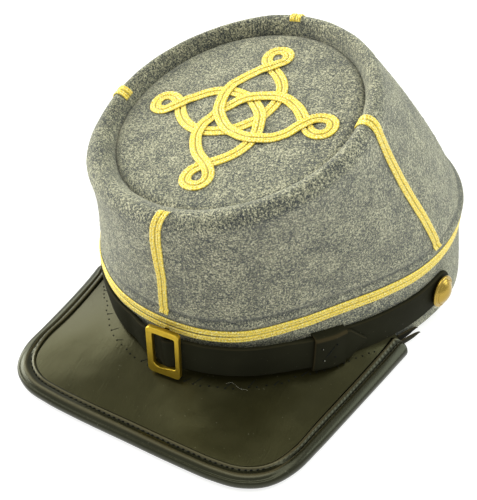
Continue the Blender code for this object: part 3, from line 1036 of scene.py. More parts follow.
@dataclass
class FeltCrown:
    """Felt pieces: the crown's wall with its rolled rim, the flat top and the band.

    tuck: how far the flat top's edge goes down beside the rim.
    hem_lift: how far above the hem the felt's outside starts, for the rounded edge below it.
    seam_dark: half width of the painted shade along the seam.
    """

    maker: Maker
    finishes: Finishes
    columns: int = 240
    wall_rows: int = 84
    top_rows: int = 40
    band_rows: int = 22
    top_thick: float = 1.8
    tuck: float = 1.6
    hem_lift: float = 0.6
    seam_dark: float = 0.8

    def build(self) -> None:
        """Build all three felt pieces."""
        self.build_wall()
        self.build_top()
        self.build_band()

    def degrees(self) -> list[float]:
        """Directions of the mesh columns."""
        return [360.0 * j / self.columns for j in range(self.columns)]

    def build_wall(self) -> None:
        """Wall of the crown, from the ring up and over the padded rim."""
        form = self.maker.form
        columns = [form.wall_column(angle, self.wall_rows) for angle in self.degrees()]
        outer = [[column[i] for column in columns] for i in range(self.wall_rows)]

        def wear_and_light(row: int, column: int) -> float:
            """Painted shade in the seam's crease above the ring, and in the fold right beside the
            ring.
            """
            if row >= self.wall_rows:
                return 0.0
            height = outer[row][column].z
            return max(hump(height, form.seam[0], self.seam_dark), smoothstep(3.6, 2.6, height))

        data = skin(felt_wall(outer, form.felt), closed_rows=True, wear_and_light=wear_and_light)
        self.maker.piece("crown_side_felt", data, self.finishes.felt, Slot.FELT, ["crown_side"])

    def build_top(self) -> None:
        """Flat top, its edge tucked down beside the rim."""
        form = self.maker.form
        middle = Vector(form.top_centre)
        up = form.top_axes()[2]
        spots = [(k / (self.top_rows - 1), 0.0) for k in range(self.top_rows)]
        spots += [(1.0, -self.top_thick)]
        spots += [(k / 6.0, -self.top_thick) for k in reversed(range(6))]
        rows = []
        for share, lift in spots:
            line = []
            for angle in self.degrees():
                flat = middle.lerp(form.rim_point(angle, 0.0, 0.0), share)
                relief = form.top_relief(flat) * (1.0 - share**6)
                tuck = self.tuck * smoothstep(0.955, 1.0, share)
                line.append(flat + up * (relief + lift - (tuck if lift == 0.0 else 0.0)))
            rows.append(line)
        rows[0] = [rows[0][0]] * self.columns
        rows[-1] = [rows[-1][0]] * self.columns
        data = skin(rows)
        self.maker.piece("crown_top_felt", data, self.finishes.felt, Slot.FELT, ["crown_top"])

    def build_band(self) -> None:
        """Band below the ring of braid."""
        form = self.maker.form
        turns = [abs(signed(angle)) for angle in self.degrees()]
        outer = []
        for i in range(self.band_rows):
            share = i / (self.band_rows - 1)
            line = []
            for angle, turn in zip(self.degrees(), turns):
                height = mix(form.hem(angle) + self.hem_lift, -form.gap, share)
                point = form.band_point(angle, height)
                free = smoothstep(-2.0, -6.0, height) * smoothstep(70.0, 100.0, turn)
                relief = form.cloth_relief(point) * free
                line.append(point + form.band_normal(angle, height) * relief)
            outer.append(line)

        def wear_and_light(row: int, column: int) -> float:
            """Painted shade on the felt beside the visor's seam."""
            if row >= self.band_rows:
                return 0.0
            near = smoothstep(76.0, 66.0, turns[column])
            return near * smoothstep(-20.0, -24.0, outer[row][column].z)

        data = skin(felt_wall(outer, form.felt), closed_rows=True, wear_and_light=wear_and_light)
        self.maker.piece("band_felt", data, self.finishes.felt, Slot.FELT, ["band"])


# --- Braid ---


@dataclass(frozen=True)
class Station:
    """One place along a strip: its middle and two unit directions."""

    point: Vector
    across: Vector
    outward: Vector


@dataclass(frozen=True)
class BraidWeave:
    """Section of a flat double braid: two strands, each of two plaited cords.

    Sizes are in millimetres. thick is the rise of a cord, groove the share of it that is left
    between the two cords of a strand, split the share of the half width that lies open between
    the strands and open_rise the share of the rise that is left there. strand is the middle and
    half width of a strand as shares of the half width, lag how far one strand's plait is behind
    the other's, marks the shares at which the section has points.
    """

    thick: float = 0.72
    split: float = 0.13
    groove: float = 0.40
    edge: float = 0.20
    plait: float = 0.22
    pitch: float = 1.35
    slant: float = 0.55
    step: float = 0.25
    open_rise: float = 0.06
    strand: tuple[float, float] = (0.55, 0.45)
    lag: float = 0.25
    marks: tuple[float, ...] = (0.0, 0.095, 0.15, 0.21, 0.31, 0.42, 0.53, 0.64, 0.77, 0.90, 1.0)

    def height(self, share: float, along: float) -> float:
        """Rise of the braid at a share of its half width, this far along it."""
        if abs(share) < self.split:
            return self.thick * self.open_rise
        place = (abs(share) - self.strand[0]) / self.strand[1]
        cord = (abs(place) - 0.5) / 0.5
        floor = self.groove if abs(place) < 0.5 else self.edge
        rise = floor + (1.0 - floor) * math.sqrt(max(0.0, 1.0 - cord * cord))
        turn = along / self.pitch + self.slant * abs(place) + (self.lag if share > 0.0 else 0.0)
        ripple = 0.5 + 0.5 * math.cos(2.0 * math.pi * turn)
        return rise * self.thick - self.plait * ripple * rise

    def section(self) -> list[float]:
        """Shares of the half width, from one edge of the braid to the other."""
        return [-mark for mark in reversed(self.marks)] + list(self.marks[1:])


@dataclass
class GoldBraid:
    """Ring of braid, the four braids that climb the crown and the knot on the flat top.

    climbers: (node, degrees at the ring, degrees at the top).
    climb_wide, front_wide: (share of the way up, width); front_line: (share, degrees).
    climb_end, front_end: rows that are left out at the top.
    knot_quarter: one quarter of the knot's path, from the tip of one loop to the next tip.
    knot_rank: which quarter lies over which.
    knot_flat, knot_ramp: distances between two runs, at which the upper one lies fully on the
    lower and at which it starts to rise; runs nearer than knot_same along the path are one.
    """

    maker: Maker
    finishes: Finishes
    weave: BraidWeave = BraidWeave()
    seat: float = 0.12
    ring_wide: float = 6.4
    ring_drop: float = 0.8
    ring_seat: float = 0.2
    ring_wobble: float = 0.12
    ring_steps: int = 240
    foot: float = 4.6
    climbers: tuple[tuple[str, float, float], ...] = (
        ("front_braid", -1.7, 1.7),
        ("left_braid", 85.5, 91.0),
        ("back_braid", 178.5, 177.0),
        ("right_braid", -84.5, -91.0),
    )
    climb_rows: int = 64
    climb_wide: Table = ((0.0, 5.6), (1.0, 5.6))
    front_wide: Table = ((0.0, 4.6), (0.35, 4.5), (0.65, 5.3), (1.0, 5.0))
    front_line: Table = (
        (0.05, -1.7), (0.33, -1.3), (0.52, -1.7), (0.62, -1.8), (0.70, -1.3), (0.76, 0.0),
        (0.82, 1.8),
    )
    climb_end: int = 4
    front_end: int = 11
    knot_wide: float = 5.4
    knot_centre: tuple[float, float] = (1.2, 1.3)
    knot_turn: float = 1.5
    knot_quarter: Table = (
        (0.0, -42.6), (-3.4, -41.4), (-4.8, -38.2), (-3.7, -34.4), (0.0, -30.6), (4.9, -27.0),
        (9.2, -22.4), (12.0, -16.8), (12.8, -10.4), (11.6, -4.0), (9.0, 1.8),
    )
    knot_step: float = 0.95
    knot_rank: tuple[int, ...] = (1, 0, 3, 2)
    knot_lift: float = 0.72
    knot_flat: float = 4.2
    knot_ramp: float = 7.2
    knot_same: float = 15.0

    def build(self) -> None:
        """Build the ring, the climbing braids and the knot."""
        self.build_ring()
        for name, low, high in self.climbers:
            self.build_climber(name, low, high)
        self.build_knot()

    def strip(
        self,
        name: str,
        stations: Sequence[Station],
        closed: bool,
        width: Callable[[float], float],
        node: str,
        parted: Callable[[Vector], float] | None = None,
    ) -> None:
        """Braid along stations.

        Args:
            name: name of the piece.
            stations: rough places along it, evenly spaced.
            closed: whether it joins its own start.
            width: full width at a share of the length.
            node: CAD node that it stands for.
            parted: how strong the painted shade between its two strands is at a point, from 0 to 1.
        """
        points = [station.point for station in stations]
        ends = points + ([points[0]] if closed else [])
        length = sum((far - near).length for near, far in zip(ends, ends[1:]))
        parts = max(1, round(length / (len(ends) - 1) / self.weave.step))
        line = smooth_path(points, closed, parts)
        sides = smooth_path([station.across for station in stations], closed, parts)
        outs = smooth_path([station.outward for station in stations], closed, parts)
        shares = self.weave.section()
        rows = []
        along = [0.0]
        for k, point in enumerate(line):
            half = width(k / len(line)) / 2.0
            across = sides[k].normalized()
            outward = outs[k].normalized()
            if k:
                along.append(along[-1] + (point - line[k - 1]).length)
            end = 1.0
            if not closed:
                end = smoothstep(-0.6, 0.9, min(along[-1], length - along[-1]))
            lifts = [self.weave.height(share, along[-1]) * end for share in shares] + [-0.05] * 3
            places = zip(shares + [0.9, 0.0, -0.9], lifts)
            rows.append([point + across * (s * half) + outward * lift for s, lift in places])
        if closed:
            along.append(length)
        marks = [s * width(0.5) / 2.0 for s in shares + [1.3, 0.0, -1.3]]
        marks.append(marks[0])
        middle = len(self.weave.marks) - 1

        def gap(row: int, column: int) -> float:
            """Painted shade: a dark line in the gap between the two strands, a faint one in the
            groove between a strand's cords, and full shade on the underside.
            """
            if column >= len(shares):
                return 1.0
            patch = smoothstep(-0.35, 0.35, noise(line[row] / 10.0))
            if abs(column - middle) <= 1:
                return mix(0.42, 1.0, 0.25 * patch if parted is None else parted(line[row]))
            return 0.24 + 0.12 * patch if abs(column - middle) == 6 else 0.0

        data = skin(rows, closed_rows=closed, across=marks, along=along, wear_and_light=gap)
        fill_ends(data)
        self.maker.piece(name, data, self.finishes.braid, Slot.BRAID, [node])

    def build_ring(self) -> None:
        """Ring of braid above the band."""
        form = self.maker.form
        stations = []
        for j in range(self.ring_steps):
            angle = 360.0 * j / self.ring_steps
            place = Vector((math.sin(math.radians(angle)) * 9.0, angle / 40.0, 3.0))
            point = form.band_point(angle, self.ring_wobble * noise(place), self.ring_seat)
            point.z -= self.ring_drop * smoothstep(100.0, 50.0, abs(signed(angle)))
            up = Vector((0.0, 0.0, 1.0))
            stations.append(Station(point, up, form.band_normal(angle, 0.0)))

        def parted(point: Vector) -> float:
            """The painted shade between the strands is fainter on the wearer's left, where they lie
            closer together.
            """
            return smoothstep(36.0, 12.0, point.x)

        self.strip("ring_braid", stations, True, lambda share: self.ring_wide, "band_braid", parted)

    def build_climber(self, node: str, low: float, high: float) -> None:
        """One braid up the wall, over the rim and down to the edge of the flat top."""
        form = self.maker.form
        stations = []
        count = self.climb_rows
        front = node == "front_braid"
        for k in range(1, count - (self.front_end if front else self.climb_end)):
            share = k / count
            angle = table_value(self.front_line, share) if front else mix(low, high, share)
            before, here, after = form.wall_columns(angle, count)
            point = here[k]
            if point.z < self.foot:
                continue
            across = (after[k] - before[k]).normalized()
            outward = across.cross(here[k + 1] - here[k - 1]).normalized()
            stations.append(Station(point + outward * self.seat, across, outward))
        table = self.front_wide if front else self.climb_wide
        self.strip(node + "_gold", stations, False, lambda share: table_value(table, share), node)

    def knot_line(self) -> tuple[list[Vector], list[int]]:
        """Closed flat path of the knot, with the quarter that each point belongs to."""
        corners = []
        for quarter in range(4):
            turn = -math.pi / 2.0 * quarter - math.radians(self.knot_turn)
            cos, sin = math.cos(turn), math.sin(turn)
            mirrored = [(y, x) for x, y in reversed(self.knot_quarter[1:])]
            for x, y in list(self.knot_quarter) + mirrored:
                corners.append(Vector((x * cos - y * sin, x * sin + y * cos)))
        path = smooth_path(corners, True, 8)
        length = sum((far - near).length for near, far in zip(path, path[1:] + path[:1]))
        path = even_path(path, round(length / self.knot_step), True)
        return path, [4 * k // len(path) for k in range(len(path))]

    def knot_lifts(self, path: list[Vector], quarters: list[int]) -> list[float]:
        """Rise of each point of the knot, in layers of braid."""
        count = len(path)
        lifts = [0.0] * count
        below = []
        for k in range(count):
            found = []
            for j in range(count):
                apart = abs((k - j + count // 2) % count - count // 2) * self.knot_step
                if apart <= self.knot_same:
                    continue
                away = (path[k] - path[j]).length
                over = self.knot_rank[quarters[k]] > self.knot_rank[quarters[j]]
                if over and away < self.knot_ramp:
                    found.append((j, 1.0 - smoothstep(self.knot_flat, self.knot_ramp, away)))
            below.append(found)
        for _ in self.knot_rank:
            lifts = [max([0.0] + [part * (1.0 + lifts[j]) for j, part in row]) for row in below]
        for _ in range(3):
            after = lifts[1:] + lifts[:1]
            lifts = [(lifts[k - 1] + 2.0 * lifts[k] + after[k]) / 4.0 for k in range(count)]
        return lifts

    def build_knot(self) -> None:
        """Looped knot of braid that passes over and under itself."""
        form = self.maker.form
        path, quarters = self.knot_line()
        lifts = self.knot_lifts(path, quarters)
        side, back, up = form.top_axes()
        stations = []
        for k, point in enumerate(path):
            ahead = path[(k + 1) % len(path)] - path[k - 1]
            across = (side * -ahead.y + back * ahead.x).normalized()
            flat = (self.knot_centre[0] + point.x, self.knot_centre[1] + point.y)
            relief = form.top_relief(form.top_point(*flat, 0.0))
            place = form.top_point(*flat, self.seat + relief + lifts[k] * self.knot_lift)
            stations.append(Station(place, across, up))
        self.strip("knot_braid", stations, True, lambda share: self.knot_wide, "top_knot")


# --- Visor ---


@dataclass(frozen=True)
class VisorRow:
    """One row across the visor, from its outer edge to the seam at the band.

    stretch: length along the row for each millimetre square to the edge.
    degrees: where the row's end lies round the band.
    """

    edge: Vector
    inward: Vector
    stretch: float
    reach: float
    seam: float
    along: float
    edge_height: float
    degrees: float

    def spot(self, inside: float, lift: float) -> Vector:
        """Point this far inside the edge, lifted from the middle of the leather."""
        far = min(inside * self.stretch, self.reach)
        part = far / self.reach
        rise = part * (0.6 + 0.4 * part * part)
        height = self.edge_height + (self.seam - self.edge_height) * rise
        flat = self.edge + self.inward * far
        return Vector((flat.x, flat.y, height + lift))

    def depth(self) -> float:
        """Distance from edge to seam, square to the edge."""
        return self.reach / self.stretch

    def front(self) -> float:
        """1 along the front edge of the visor, 0 along its sides."""
        return smoothstep(-16.0, -33.0, self.edge.y)


@dataclass
class LeatherVisor:
    """Visor leather, rolled binding with its stitches, the seam at the band and loose ends.

    edge: (across, behind the ring's front, degrees of the same row's end at the band).
    bead_side, bead_front: top of the binding as (share of its width, height), as sewn along
    the sides and along the front; bead_under: the same for its underside.
    pocket: (inside the edge, half its height) of the binding's fold round the leather.
    rubbed: (point of the binding's section, how much it browns, for worn ridges and a painted
    highlight); scallop: how far its stitches pull it in.
    stitch_share: (0 side to 1 front, share of the width) of the stitches' line; stitch_size: half
    their length, width and thickness.
    seam_turns: degrees between which the needle holes lie; seam_far: (degrees, how far they lie
    from the band); hole_size, thread_half: halves of the sizes of the holes and their threads.
    thread_row: row at which the loose thread starts.
    tongues: (degrees long, out from the felt, low edge, high edge, lean) of the loose ends.
    """

    maker: Maker
    finishes: Finishes
    edge: Table = (
        (-74.2, 46.0, -51.0), (-73.6, 40.0, -48.0), (-72.6, 29.0, -43.5), (-71.8, 13.5, -38.0),
        (-71.4, -3.0, -33.0), (-70.7, -17.2, -29.0), (-65.3, -28.5, -25.0), (-54.9, -35.0, -20.5),
        (-42.4, -37.0, -16.0), (-28.8, -37.6, -11.0), (-14.8, -37.7, -5.5), (-0.8, -37.6, 0.0),
        (13.2, -37.6, 5.5), (27.2, -37.4, 11.0), (40.2, -36.8, 16.0), (52.4, -34.4, 20.5),
        (62.6, -28.0, 25.0), (69.3, -17.0, 29.0), (73.0, -3.0, 33.0), (76.5, 13.5, 38.0),
        (79.9, 30.0, 44.0), (83.2, 46.0, 51.5), (85.7, 58.5, 59.0), (87.6, 67.8, 65.4),
    )
    parts: int = 26
    thick: float = 2.0
    inset: float = 3.2
    edge_height: float = -34.3
    seam_above_hem: float = 2.2
    seam_end_rise: float = 2.2
    bind_side: float = 8.5
    bind_front: float = 8.5
    end_round: float = 2.6
    bead_side: Table = (
        (0.000, 0.0), (0.012, 0.9), (0.045, 1.60), (0.110, 2.15), (0.200, 2.45), (0.300, 2.58),
        (0.400, 2.60), (0.490, 2.50), (0.555, 2.20), (0.590, 1.70), (0.605, 1.40), (0.620, 1.65),
        (0.650, 2.15), (0.720, 2.50), (0.800, 2.50), (0.875, 2.15), (0.925, 1.60), (0.950, 1.05),
    )
    bead_front: Table = (
        (0.000, 0.0), (0.012, 1.0), (0.045, 1.65), (0.095, 1.95), (0.145, 1.92), (0.180, 1.72),
        (0.225, 2.05), (0.290, 2.45), (0.380, 2.66), (0.460, 2.62), (0.560, 2.25), (0.680, 1.75),
        (0.745, 1.50), (0.772, 1.30), (0.800, 1.58), (0.850, 1.98), (0.920, 1.90), (0.968, 1.05),
    )
    bead_under: Table = (
        (1.00, -1.2), (1.00, -2.3), (0.70, -2.55), (0.40, -2.65), (0.20, -2.45), (0.08, -1.9),
        (0.02, -1.0),
    )
    pocket: tuple[float, float] = (2.9, 1.3)
    rubbed_and_lit: Table = ((8, 0.35), (9, 0.35), (14, 0.4), (15, 0.6))
    scallop: float = 0.08
    leather_steps: int = 34
    stitch_pitch: float = 2.6
    stitch_share: Table = ((0.0, 0.605), (1.0, 0.772))
    stitch_size: tuple[float, ...] = (0.62, 0.30, 0.24)
    stitch_lift: float = 1.45
    stitch_room: float = 7.5
    hole_size: tuple[float, ...] = (0.48, 0.44, 0.352)
    thread_half: float = 0.24
    thread_share: float = 0.35
    seed: int = 5
    seam_pitch: float = 1.95
    seam_turns: tuple[float, float] = (-46.0, 56.0)
    seam_far: Table = (
        (-46.0, 2.3), (-31.0, 2.3), (-25.0, 4.9), (-20.0, 6.8), (0.0, 7.2), (20.0, 6.6),
        (26.0, 6.4), (31.0, 3.6), (56.0, 2.9),
    )
    thread_row: int = 354
    tail_left: float = 66.0
    tail_right: float = 55.4
    tail_clear: float = 0.35
    tail_steps: int = 14
    tail_corners: int = 12
    tail_half: float = 0.42
    tongues: Table = ((8.5, 0.5, -34.2, -28.8, 0.7), (8.8, 2.0, -36.0, -31.2, 0.5))

    def build(self) -> None:
        """Build the visor and all that is sewn on it."""
        rows = self.rows()
        self.build_leather(rows)
        self.build_binding(rows)
        self.build_stitches(rows)
        self.build_seam(rows)
        self.build_loose_thread(rows)
        for side in Side:
            self.build_tail(side)

    def rows(self) -> list[VisorRow]:
        """Rows across the visor, from the wearer's right round the front to the left."""
        form = self.maker.form
        line = smooth_path([Vector(row) for row in self.edge], False, self.parts)
        found = []
        along = 0.0
        for k, point in enumerate(line):
            ahead = line[min(k + 1, len(line) - 1)] - line[max(k - 1, 0)]
            square = Vector((-ahead.y, ahead.x, 0.0)).normalized()
            rise = self.seam_end_rise * smoothstep(38.0, 54.0, point.z)
            seam = form.hem(point.z) + self.seam_above_hem + rise
            foot = form.band_point(point.z, seam, form.gap)
            reach = Vector((foot.x - point.x, foot.y - point.y, 0.0))
            inward = reach.normalized()
            stretch = min(2.0, 1.0 / inward.dot(square))
            if k:
                along += (Vector(point[:2]) - Vector(line[k - 1][:2])).length
            edge = Vector((point.x, point.y, 0.0))
            place = (seam, along, self.edge_height, point.z)
            found.append(VisorRow(edge, inward, stretch, reach.length, *place))
        result = []
        for k, row in enumerate(found):
            near = [other.stretch for other in found[max(0, k - self.parts) : k + self.parts + 1]]
            result.append(replace(row, stretch=sum(near) / len(near)))
        return result

    def bind_width(self, row: VisorRow) -> float:
        """Width of the binding's top at a row."""
        wide = mix(self.bind_side, self.bind_front, row.front())
        return min(wide, row.depth() - 0.8)

    def bead_spot(self, row: VisorRow, index: int) -> tuple[float, float]:
        """Point of the binding's top at a row, as (inside the edge, height)."""
        side, front = self.bead_side[index], self.bead_front[index]
        share = row.front()
        place = mix(side[0], front[0], share)
        lift = mix(side[1], front[1], share)
        return place * self.bind_width(row), lift

    def relief(self, row: VisorRow, inside: float) -> float:
        """Unevenness of the visor's top, this far inside its edge."""
        spot = row.spot(inside, 0.0)
        far = row.depth() - inside
        free = smoothstep(0.0, 12.0, inside - self.bind_width(row)) * smoothstep(0.0, 6.0, far)
        wave = noise(spot / 21.0) * 0.35 + noise(spot / 7.0) * 0.07
        return wave * free - 0.35 * smoothstep(7.0, 0.5, far)

    def build_leather(self, rows: list[VisorRow]) -> None:
        """Sheet of the visor, slightly uneven, thicker where it is sewn."""
        half = self.thick / 2.0
        points = []
        for row in rows:
            depth = row.depth()
            top = []
            under = []
            for k in range(self.leather_steps):
                inside = mix(self.inset, depth, k / (self.leather_steps - 1))
                spot = row.spot(inside, 0.0)
                top.append(spot + Vector((0.0, 0.0, half + self.relief(row, inside))))
                under.append(spot - Vector((0.0, 0.0, half)))
            points.append(top + under[::-1])
        finish = self.finishes.visor
        self.maker.strip("visor_leather_sheet", points, finish, Slot.VISOR, "visor", sharp=50.0)

    def build_binding(self, rows: list[VisorRow]) -> None:
        """Binding rolled over the edge, scalloped where the stitches pull its inner welt."""
        points = []
        count = len(self.bead_side)
        for row in rows:
            wide = self.bind_width(row)
            end = min(row.along, rows[-1].along - row.along) / self.end_round
            full = math.sqrt(max(0.04, 1.0 - max(0.0, 1.0 - end) ** 2))
            line = []
            for index in range(count):
                inside, lift = self.bead_spot(row, index)
                inside = mix(wide * 0.5, inside, full)
                lift *= mix(0.5, 1.0, full)
                if count - 6 <= index <= count - 4:
                    turn = 2.0 * math.pi * row.along / self.stitch_pitch
                    lift -= self.scallop + self.scallop * math.cos(turn)
                wave = noise(Vector((row.along / 16.0, index / 6.0, 1.0))) * 0.12
                line.append(row.spot(max(0.0, inside), lift + wave * smoothstep(0.5, 2.0, lift)))
            under = [
                row.spot(wide * mix(0.5, share, full), lift) for share, lift in self.bead_under
            ]
            inside, high = self.pocket
            pocket = [row.spot(min(inside, wide * 0.6), lift * full) for lift in (high, -high)]
            inner = row.spot(mix(wide * 0.5, wide - 0.05, full), 1.12)
            points.append(line + [inner] + pocket + under)

        def wear_and_light(row: int, column: int) -> float:
            """Worn ridges of the binding, browned also as a painted highlight."""
            return dict(self.rubbed_and_lit).get(column, 0.0)

        finish = self.finishes.binding
        self.maker.strip("visor_binding_roll", points, finish, Slot.VISOR, "visor_binding", wear_and_light)

    def build_stitches(self, rows: list[VisorRow]) -> None:
        """Slanted stitches sunk in the groove of the binding."""
        data = bmesh.new()
        count = int(rows[-1].along / self.stitch_pitch)
        index = 0
        for k in range(1, count):
            target = k * self.stitch_pitch
            while rows[index].along < target:
                index += 1
            row, last = rows[index], rows[index - 1]
            if row.depth() < self.stitch_room:
                continue
            inside = table_value(self.stitch_share, row.front()) * self.bind_width(row)
            middle = row.spot(inside, self.stitch_lift)
            ahead = (middle - last.spot(inside, self.stitch_lift)).normalized()
            inward = (row.spot(inside + 0.5, self.stitch_lift) - middle).normalized()
            grain(data, middle, self.stitch_size, ahead + inward * 0.25)
        self.maker.piece("binding_stitches", data, self.finishes.thread, Slot.VISOR)

    def build_seam(self, rows: list[VisorRow]) -> None:
        """Needle holes along the band, with the thread that slants from some of them."""
        data = bmesh.new()
        chance = random.Random(self.seed)
        top = self.thick / 2.0 - 0.04
        index = 0
        turn, last = self.seam_turns
        while turn < last:
            while rows[index].degrees < turn:
                index += 1
            row = rows[index]
            far = table_value(self.seam_far, turn) + chance.uniform(-0.3, 0.3)
            inside = row.depth() - far
            hole = row.spot(inside, top + self.relief(row, inside))
            grain(data, hole, self.hole_size, Vector((1.0, 0.0, 0.0)))
            if chance.random() < self.thread_share:
                other = rows[min(len(rows) - 1, index + chance.randrange(5, 12))]
                inside = other.depth() - far * chance.uniform(0.3, 0.75)
                end = other.spot(inside, top + self.relief(other, inside))
                sizes = ((end - hole).length / 2.0, self.thread_half, self.thread_half * 0.8)
                grain(data, (hole + end) * 0.5, sizes, end - hole)
            turn += self.seam_pitch * chance.uniform(0.85, 1.15)
        self.maker.piece("seam_stitches", data, self.finishes.thread, Slot.VISOR)

    def build_loose_thread(self, rows: list[VisorRow]) -> None:
        """Curled end of pale thread lying beside the seam."""
        line = []
        for k in range(11):
            row = rows[self.thread_row + 3 * k]
            inside = row.depth() - 5.0 + 0.7 * math.sin(k * 0.75) - 0.04 * k * k
            line.append(row.spot(inside, self.thick / 2.0 + 0.15))
        finish = self.finishes.pale_hair
        curl = smooth_path(line, False, 3)
        self.maker.fibres("loose_thread", [curl], 0.035, finish, Slot.VISOR)

    def build_tail(self, side: Side) -> None:
        """Two loose tongues of leather behind one end of the visor."""
        form = self.maker.form
        start = self.tail_left if side is Side.LEFT else self.tail_right
        data = bmesh.new()

        def wear_and_light(row: int, column: int) -> float:
            """Worn upper edge, browner also as a painted highlight."""
            return 0.8 if column in (0, 1, self.tail_corners - 1) else 0.1

        for long, out, low, high, lean in self.tongues:
            middle = (low + high) / 2.0
            rows = []
            for k in range(self.tail_steps + 1):
                share = k / self.tail_steps
                degrees = (start + long * share) * side.value
                half = (high - low) / 2.0 * math.sqrt(max(0.02, 1.0 - share**4))
                row = []
                for m in range(self.tail_corners):
                    angle = 2.0 * math.pi * m / self.tail_corners
                    rise = math.cos(angle) * half
                    away = out + math.sin(angle) * self.tail_half + lean * (rise / half)
                    away = max(self.tail_clear, away + 0.6 * share * share)
                    row.append(form.band_point(degrees, middle + rise, away))
                rows.append(row)
            part = skin(rows, wear_and_light=wear_and_light)
            fill_ends(part)
            mesh = mesh_of("tongue", part)
            data.from_mesh(mesh)
            bpy.data.meshes.remove(mesh)
        name = "visor_tail_" + side.name.lower()
        self.maker.piece(name + "_tongues", data, self.finishes.strap, Slot.VISOR, [name])


# --- Chin strap ---


@dataclass
class ChinStrap:
    """Two leather straps round the front of the band and the keeper over their overlap.

    line: (degrees, height of the straps' middle); short_rise: (degrees, shift of the short one).
    bump: how far the long strap stands out where it passes over the buckle's bar.
    holes, pulled: (degrees, rise) of the cross stitch's needle holes and of its thread's ends.
    """

    maker: Maker
    finishes: Finishes
    line: Table = (
        (0.0, -13.9), (15.0, -14.2), (30.0, -16.9), (45.0, -18.9), (60.0, -19.2), (75.0, -18.5),
        (90.0, -17.6),
    )
    thick: float = 1.8
    short_wide: float = 15.4
    short_rise: Table = ((28.0, -1.0), (42.0, 0.3))
    long_wide: float = 16.4
    long_rise: float = 0.6
    short_from: float = -3.5
    end: float = 91.0
    end_round: float = 5.4
    point_from: float = 46.9
    point_to: float = 52.8
    bump: float = 3.1
    bump_half: float = 2.1
    bump_at: float = 0.3
    keeper_from: float = 35.2
    keeper_to: float = 45.6
    keeper_thick: float = 1.4
    keeper_side: float = 0.9
    keeper_steps: int = 26
    upper_edge: int = 12
    edge_rub_and_highlight_share: float = 0.3
    step: float = 0.8
    holes: Table = ((37.3, 3.6), (42.0, 3.9), (38.1, -3.4), (41.7, -2.9))
    pulled: Table = ((41.4, 3.4), (38.4, -2.6))

    def build(self) -> None:
        """Build both straps and the keeper with its cross stitch."""
        self.build_short()
        self.build_long()
        self.build_keeper()
        self.build_cross()

    def middle(self, degrees: float) -> float:
        """Height of the straps' middle line."""
        return smooth_row(self.line, degrees)[0]

    def row(self, degrees: float, half: float, out: float, rise: float = 0.0) -> list[Vector]:
        """Rounded section of a strap.

        Args:
            degrees: place round the band.
            half: half of its width there.
            out: distance of its inside from the felt.
            rise: shift of its middle upwards.

        Returns:
            Points round the section, from its lower inside edge out, up and back.
        """
        form = self.maker.form
        t = self.thick
        edge = min(1.0, half / 2.0)
        crown = 0.16 * min(1.0, half / 6.0)
        upper = [
            (half * 0.25, t + crown), (half * 0.60, t + crown * 0.6),
            (half - 1.30 * edge, 0.95 * t), (half - 0.70 * edge, 1.0 * t),
            (half - 0.22 * edge, 0.90 * t), (half, 0.62 * t), (half, 0.22 * t),
            (half - 0.25 * edge, 0.0),
        ]
        shape = [(-high, deep) for high, deep in reversed(upper)] + upper
        shape += [(half * 0.3, 0.0), (-half * 0.3, 0.0)]
        middle = self.middle(degrees) + rise
        return [form.band_point(degrees, middle + high, out + deep) for high, deep in shape]

    def edge_rub_and_highlight(self, row: int, column: int) -> float:
        """Browner line along a strap's upper edge: worn leather, and a painted highlight on the
        rounded edge.
        """
        return self.edge_rub_and_highlight_share if column == self.upper_edge else 0.0

    def round_end(self, degrees: float) -> float:
        """Share of the full width near the button."""
        over = (abs(degrees) - (self.end - self.end_round)) / self.end_round
        return math.sqrt(max(0.02, 1.0 - max(0.0, over) ** 2))

    def sway(self, degrees: float) -> float:
        """Slight wander of a strap's edges."""
        return 0.15 * noise(Vector((degrees / 14.0, 2.0, 5.0)))

    def leather(self, name: str, rows: Rows, node: str, wear_and_light: WearAndLight) -> None:
        """Make one leather piece of the strap from its sections."""
        self.maker.strip(name, rows, self.finishes.strap, Slot.STRAP, node, wear_and_light, sharp=60.0)

    def build_short(self) -> None:
        """Short strap, from behind the buckle to the wearer's left button."""
        rows = []
        count = round((self.end - self.short_from) / self.step)
        for k in range(count + 1):
            degrees = mix(self.short_from, self.end, k / count)
            half = self.short_wide / 2.0 * self.round_end(degrees)
            rise = self.sway(degrees) + table_value(self.short_rise, degrees)
            rows.append(self.row(degrees, half, self.maker.form.gap, rise))
        self.leather("strap_short_leather", rows, "strap_short", self.edge_rub_and_highlight)

    def long_out(self, degrees: float) -> float:
        """Distance of the long strap's inside from the felt."""
        gap = self.maker.form.gap
        climb = smoothstep(-13.0, -6.0, degrees)
        over_bar = self.bump * hump(degrees, self.bump_at, self.bump_half)
        return gap + climb * (gap + self.thick) + over_bar

    def build_long(self) -> None:
        """Long strap, from the wearer's right button over the buckle's bar to its point."""
        rows = []
        count = round((self.point_to + self.end) / self.step)
        for k in range(count + 1):
            degrees = mix(-self.end, self.point_to, k / count)
            over = smoothstep(-9.0, -1.0, degrees) * smoothstep(36.0, 26.0, degrees)
            over *= self.long_rise
            half = self.long_wide / 2.0 * self.round_end(degrees) + over
            if degrees > self.point_from:
                share = (degrees - self.point_from) / (self.point_to - self.point_from)
                half *= max(0.05, 1.0 - 0.95 * share)
            rise = self.sway(degrees) + over
            rows.append(self.row(degrees, half, self.long_out(degrees), rise))
        self.leather("strap_long_leather", rows, "strap_long", self.edge_rub_and_highlight)

    def keeper_inner(self) -> float:
        """Distance of the inside of the keeper's face from the felt, over both straps."""
        return 2.0 * (self.maker.form.gap + self.thick) + self.maker.form.gap

